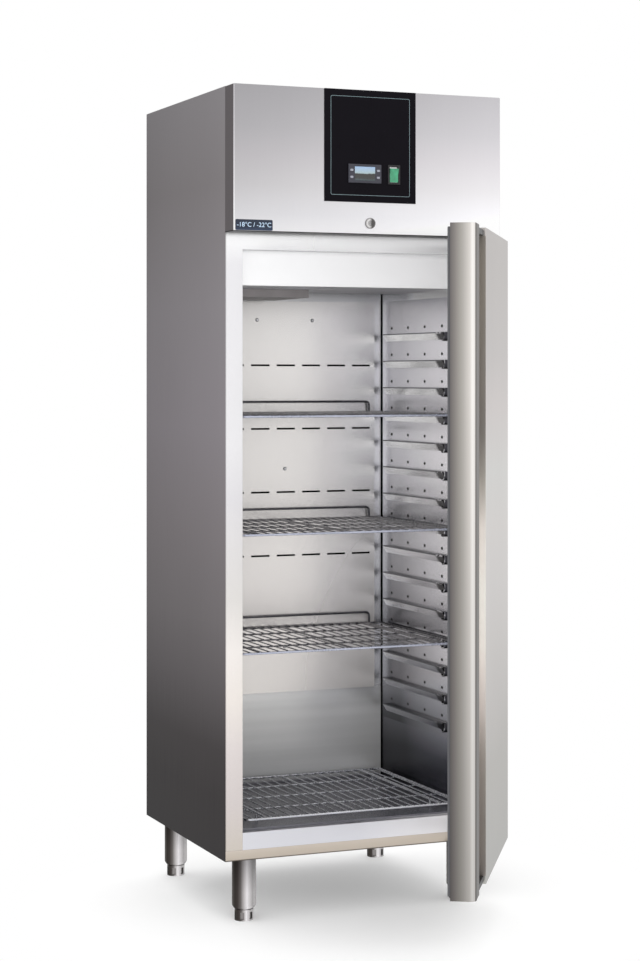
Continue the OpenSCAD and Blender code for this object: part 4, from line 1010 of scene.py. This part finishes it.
def build_door():
    """Door shell with its grip recess, lining, end caps, inner pan, gasket, bushes and hinge brackets."""
    s = sizes()
    low, high = shut_box("door_skin")
    grip_low, grip_high = shut_box("grip_channel")
    lip = low.y + s.door_lip
    recess_r, end_r, lining_r, lining_t = 0.0016, 0.0012, 0.003, 0.001
    shell = flat("door_shell", low, high)
    for axis, value in ((X, grip_low.x), (X, grip_high.x), (Y, lip), (Y, grip_high.y)):
        bisect(shell, axis, value)

    def outside(face):
        c = face.calc_center_median()
        in_recess = grip_low.x < c.x < grip_high.x and c.y < grip_high.y
        return in_recess or (c.x < grip_low.x and c.y < lip)

    remove_faces(shell, outside)
    edit(shell, "SELECT")
    bpy.ops.mesh.dissolve_limited(angle_limit=math.radians(1))
    leave()
    bevel(shell, lambda v: on(v, X, low.x) and on(v, Y, lip), s.door_edge, 9, "VERT")
    bevel(shell, lambda v: (on(v, X, high.x) or on(v, X, grip_high.x)) and on(v, Y, low.y), s.fold, 4, "VERT")
    bevel(shell, lambda v: on(v, X, grip_low.x) and on(v, Y, lip), recess_r, 3, "VERT")
    pick(shell, "FACE", lambda f: True)
    bpy.ops.mesh.extrude_region_move(TRANSFORM_OT_translate={"value": (0, 0, high.z - low.z)})
    leave()
    outward(shell)
    bevel(shell, lambda e: (on(e, Z, low.z) or on(e, Z, high.z)) and not on(e, Y, high.y), end_r, 2)
    remove_faces(shell, lambda f: faces_to(f, Y, 1) and on(f, Y, high.y))
    thicken(shell, s.sheet)
    dress(shell, "door", ["door_skin"], "door", swing=True)

    lining = block("grip_lining", grip_low, grip_high)
    remove_faces(lining, lambda f: faces_to(f, Y, -1) or abs(f.normal.z) > 0.9)
    behind_lip = 0.003
    pick(lining, "VERT", lambda v: on(v, X, grip_low.x) and on(v, Y, grip_low.y))
    bpy.ops.transform.translate(value=(0, lip + behind_lip - grip_low.y, 0))
    leave()
    bevel(lining, lambda e: along(e, Z) and on(e, Y, grip_high.y), lining_r, 4)
    thicken(lining, lining_t)
    dress(lining, "recess", ["grip_channel"], "door", swing=True)

    eased("grip_caps", "door_end_caps", "black", 0.0015, 3, "door")
    eased("inner_pan", "door_inner_pan", "pan", 0.0004, body="door")
    eased("magnet_seal", "door_gasket", "gasket", 0.0025, 4, "door")
    paint("bush", "hinge_bushes")
    eased("hinge_plates", "hinge_brackets", "zinc", 0.0006)


def build_legs():
    """Four turned legs with their screw-in feet."""
    low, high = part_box("leg_tubes")
    corners = ("front_left", "front_right", "back_left", "back_right")
    centres = []
    for where in corners:
        a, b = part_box(f"foot_{where}")
        centres.append(((a + b) / 2).xy.to_3d())
    r = centres[0].x - low.x
    # A leg is drawn in at its lower end: (height above that end, how much smaller the radius is)
    neck = ((0, 0.010), (0, 0.0045), (0.002, 0.003), (0.006, 0.0006), (0.008, 0))
    rings = [(low.z + up, r - drawn_in) for up, drawn_in in neck] + [(high.z, r)]
    tubes = []
    for where, centre in zip(corners, centres):
        tubes.append(turned("tube", centre, rings))
        eased(f"adjuster_{where}", f"foot_{where}", "leg", 0.0008, body=f"foot_{where}")
    dress(join("legs", tubes), "leg", ["leg_tubes"])


def build_cooling():
    """Ceiling unit and machine bay."""
    for name, node, finish, width in (
            ("ceiling_cover", "evaporator_cover", "cover", 0.0015),
            ("drain_tray", "drip_tray", "tray", 0.001),
            ("pump_shell", "compressor", "black_paint", 0.0015),
            ("pump_mounts", "compressor_mounts", "rubber", 0.0008),
            ("relay_box", "electrical_box", "box", 0.002),
            ("gland", "cord_gland", "black", 0.0006),
            ("coil_motor", "evaporator_fan_motor", "black_paint", 0.0006),
            ("vent_motor", "condenser_fan_motor", "black_paint", 0.0006),
            ("dryer", "filter_drier", "copper", 0.0008)):
        eased(name, node, finish, width)
    paint("grey", "evaporator_fan", "condenser_fan")
    paint("fins", "evaporator_coil", "condenser_coil")
    paint("copper", "refrigerant_pipes")


def build_stage():
    """Camera, floor, world and lamps."""
    scene = bpy.context.scene
    scene.view_settings.view_transform = "Standard"

    # As fitted to the photo: metres from the cabinet's left front corner, and radians about the upright
    aside, ahead, up, turn = 1.7782, 5.1270, 1.3276, -0.4136
    data = bpy.data.cameras.new("camera")
    data.sensor_width = 36
    data.lens = 83.9
    data.shift_x, data.shift_y = -0.0875, -0.108
    camera = linked("camera", data)
    camera.location = (LEFT - aside, FRONT - ahead, up)
    camera.rotation_euler = (math.pi / 2, 0, turn)
    scene.camera = camera

    # The world is white to the eye and in mirrors, and a little stronger as a lamp
    seen_level, lamp_level = 1.0, 1.2
    world = bpy.data.worlds.new("studio")
    scene.world = world
    world.use_nodes = True
    tree = Tree(world.node_tree)
    ray = tree.add("ShaderNodeLightPath").outputs
    seen = tree.largest(ray["Is Camera Ray"], ray["Is Glossy Ray"], ray["Is Transmission Ray"])
    background = tree.nodes["Background"]
    background.inputs["Color"].default_value = (1, 1, 1, 1)
    tree.links.new(tree.spread(seen, lamp_level, seen_level), background.inputs["Strength"])

    # The floor keeps the shadow round the freezer, and fades to plain white further out and in mirrors
    middle, fade_start, fade_end = (0, 0.1, 0), 0.42, 0.84
    select_only()
    bpy.ops.mesh.primitive_plane_add(size=24, location=(0, 0, 0))
    floor = named("floor")
    f = Finish("Pale floor", Roughness=0.9)
    f.tint(tone(255, 255, 255), f.spread(f.noise(0.8, 2.0), 0.98, 1.0))
    ray = f.add("ShaderNodeLightPath").outputs
    white = f.largest(f.rise(f.vector("DISTANCE", f.place, middle)["Value"], fade_start, fade_end),
                      ray["Is Glossy Ray"], ray["Is Transmission Ray"])
    glow = f.add("ShaderNodeEmission", {"Strength": 1.0})
    mix = f.add("ShaderNodeMixShader", {0: white, 1: f.shader.outputs[0], 2: glow.outputs[0]})
    f.links.new(mix.outputs[0], f.nodes["Material Output"].inputs["Surface"])
    floor.data.materials.append(f.material)

    aim = Vector((0, 0, 1.0))
    for name, place, size, power in (
            ("key", (-2.6, -3.6, 3.4), 4.0, 26), ("fill", (-0.1, -4.6, 1.7), 3.0, 62),
            ("rear", (1.5, 3.6, 3.0), 4.0, 18)):
        lamp = bpy.data.lights.new(name, "AREA")
        lamp.size = size
        lamp.energy = power
        obj = linked(name, lamp)
        obj.location = place
        obj.rotation_euler = (aim - Vector(place)).to_track_quat("-Z", "Y").to_euler()
        obj.visible_glossy = False


# Operators and panel

def operator(name, label, build):
    """An operator class that runs one build function."""
    def execute(self, context):
        build()
        return {"FINISHED"}
    return type(f"FREEZER_OT_{name}", (bpy.types.Operator,),
                {"bl_idname": f"freezer.{name}", "bl_label": label, "__doc__": build.__doc__,
                 "bl_options": {"REGISTER", "UNDO"}, "execute": execute})


OPERATORS = [operator(*row) for row in (
    ("cabinet", "Cabinet", build_cabinet),
    ("interior", "Interior", build_interior),
    ("shelves", "Shelves", build_shelves),
    ("fascia", "Fascia", build_fascia),
    ("controls", "Controls", build_controls),
    ("lock", "Lock and label", build_lock),
    ("door", "Door", build_door),
    ("legs", "Legs", build_legs),
    ("cooling", "Cooling unit", build_cooling),
    ("stage", "Stage", build_stage))]


class FREEZER_PT_panel(bpy.types.Panel):
    """Lists the pieces and their settings"""
    bl_label = "Upright freezer"
    bl_idname = "FREEZER_PT_panel"
    bl_space_type = "VIEW_3D"
    bl_region_type = "UI"
    bl_category = "Freezer"

    def draw(self, context):
        for cls in OPERATORS:
            self.layout.operator(cls.bl_idname)
        for group in (context.scene.freezer_sizes, context.scene.freezer_colours):
            box = self.layout.box()
            for key in group.__annotations__:
                box.prop(group, key)


CLASSES = [FreezerSizes, FreezerColours, *OPERATORS, FREEZER_PT_panel]


def register():
    for cls in CLASSES:
        bpy.utils.register_class(cls)
    bpy.types.Scene.freezer_sizes = bpy.props.PointerProperty(type=FreezerSizes)
    bpy.types.Scene.freezer_colours = bpy.props.PointerProperty(type=FreezerColours)


def unregister():
    del bpy.types.Scene.freezer_colours
    del bpy.types.Scene.freezer_sizes
    for cls in reversed(CLASSES):
        bpy.utils.unregister_class(cls)


def main():
    register()
    FINISH.update(make_finishes())
    for cls in OPERATORS:
        group, name = cls.bl_idname.split(".")
        getattr(getattr(bpy.ops, group), name)()


if __name__ == "__main__":
    main()
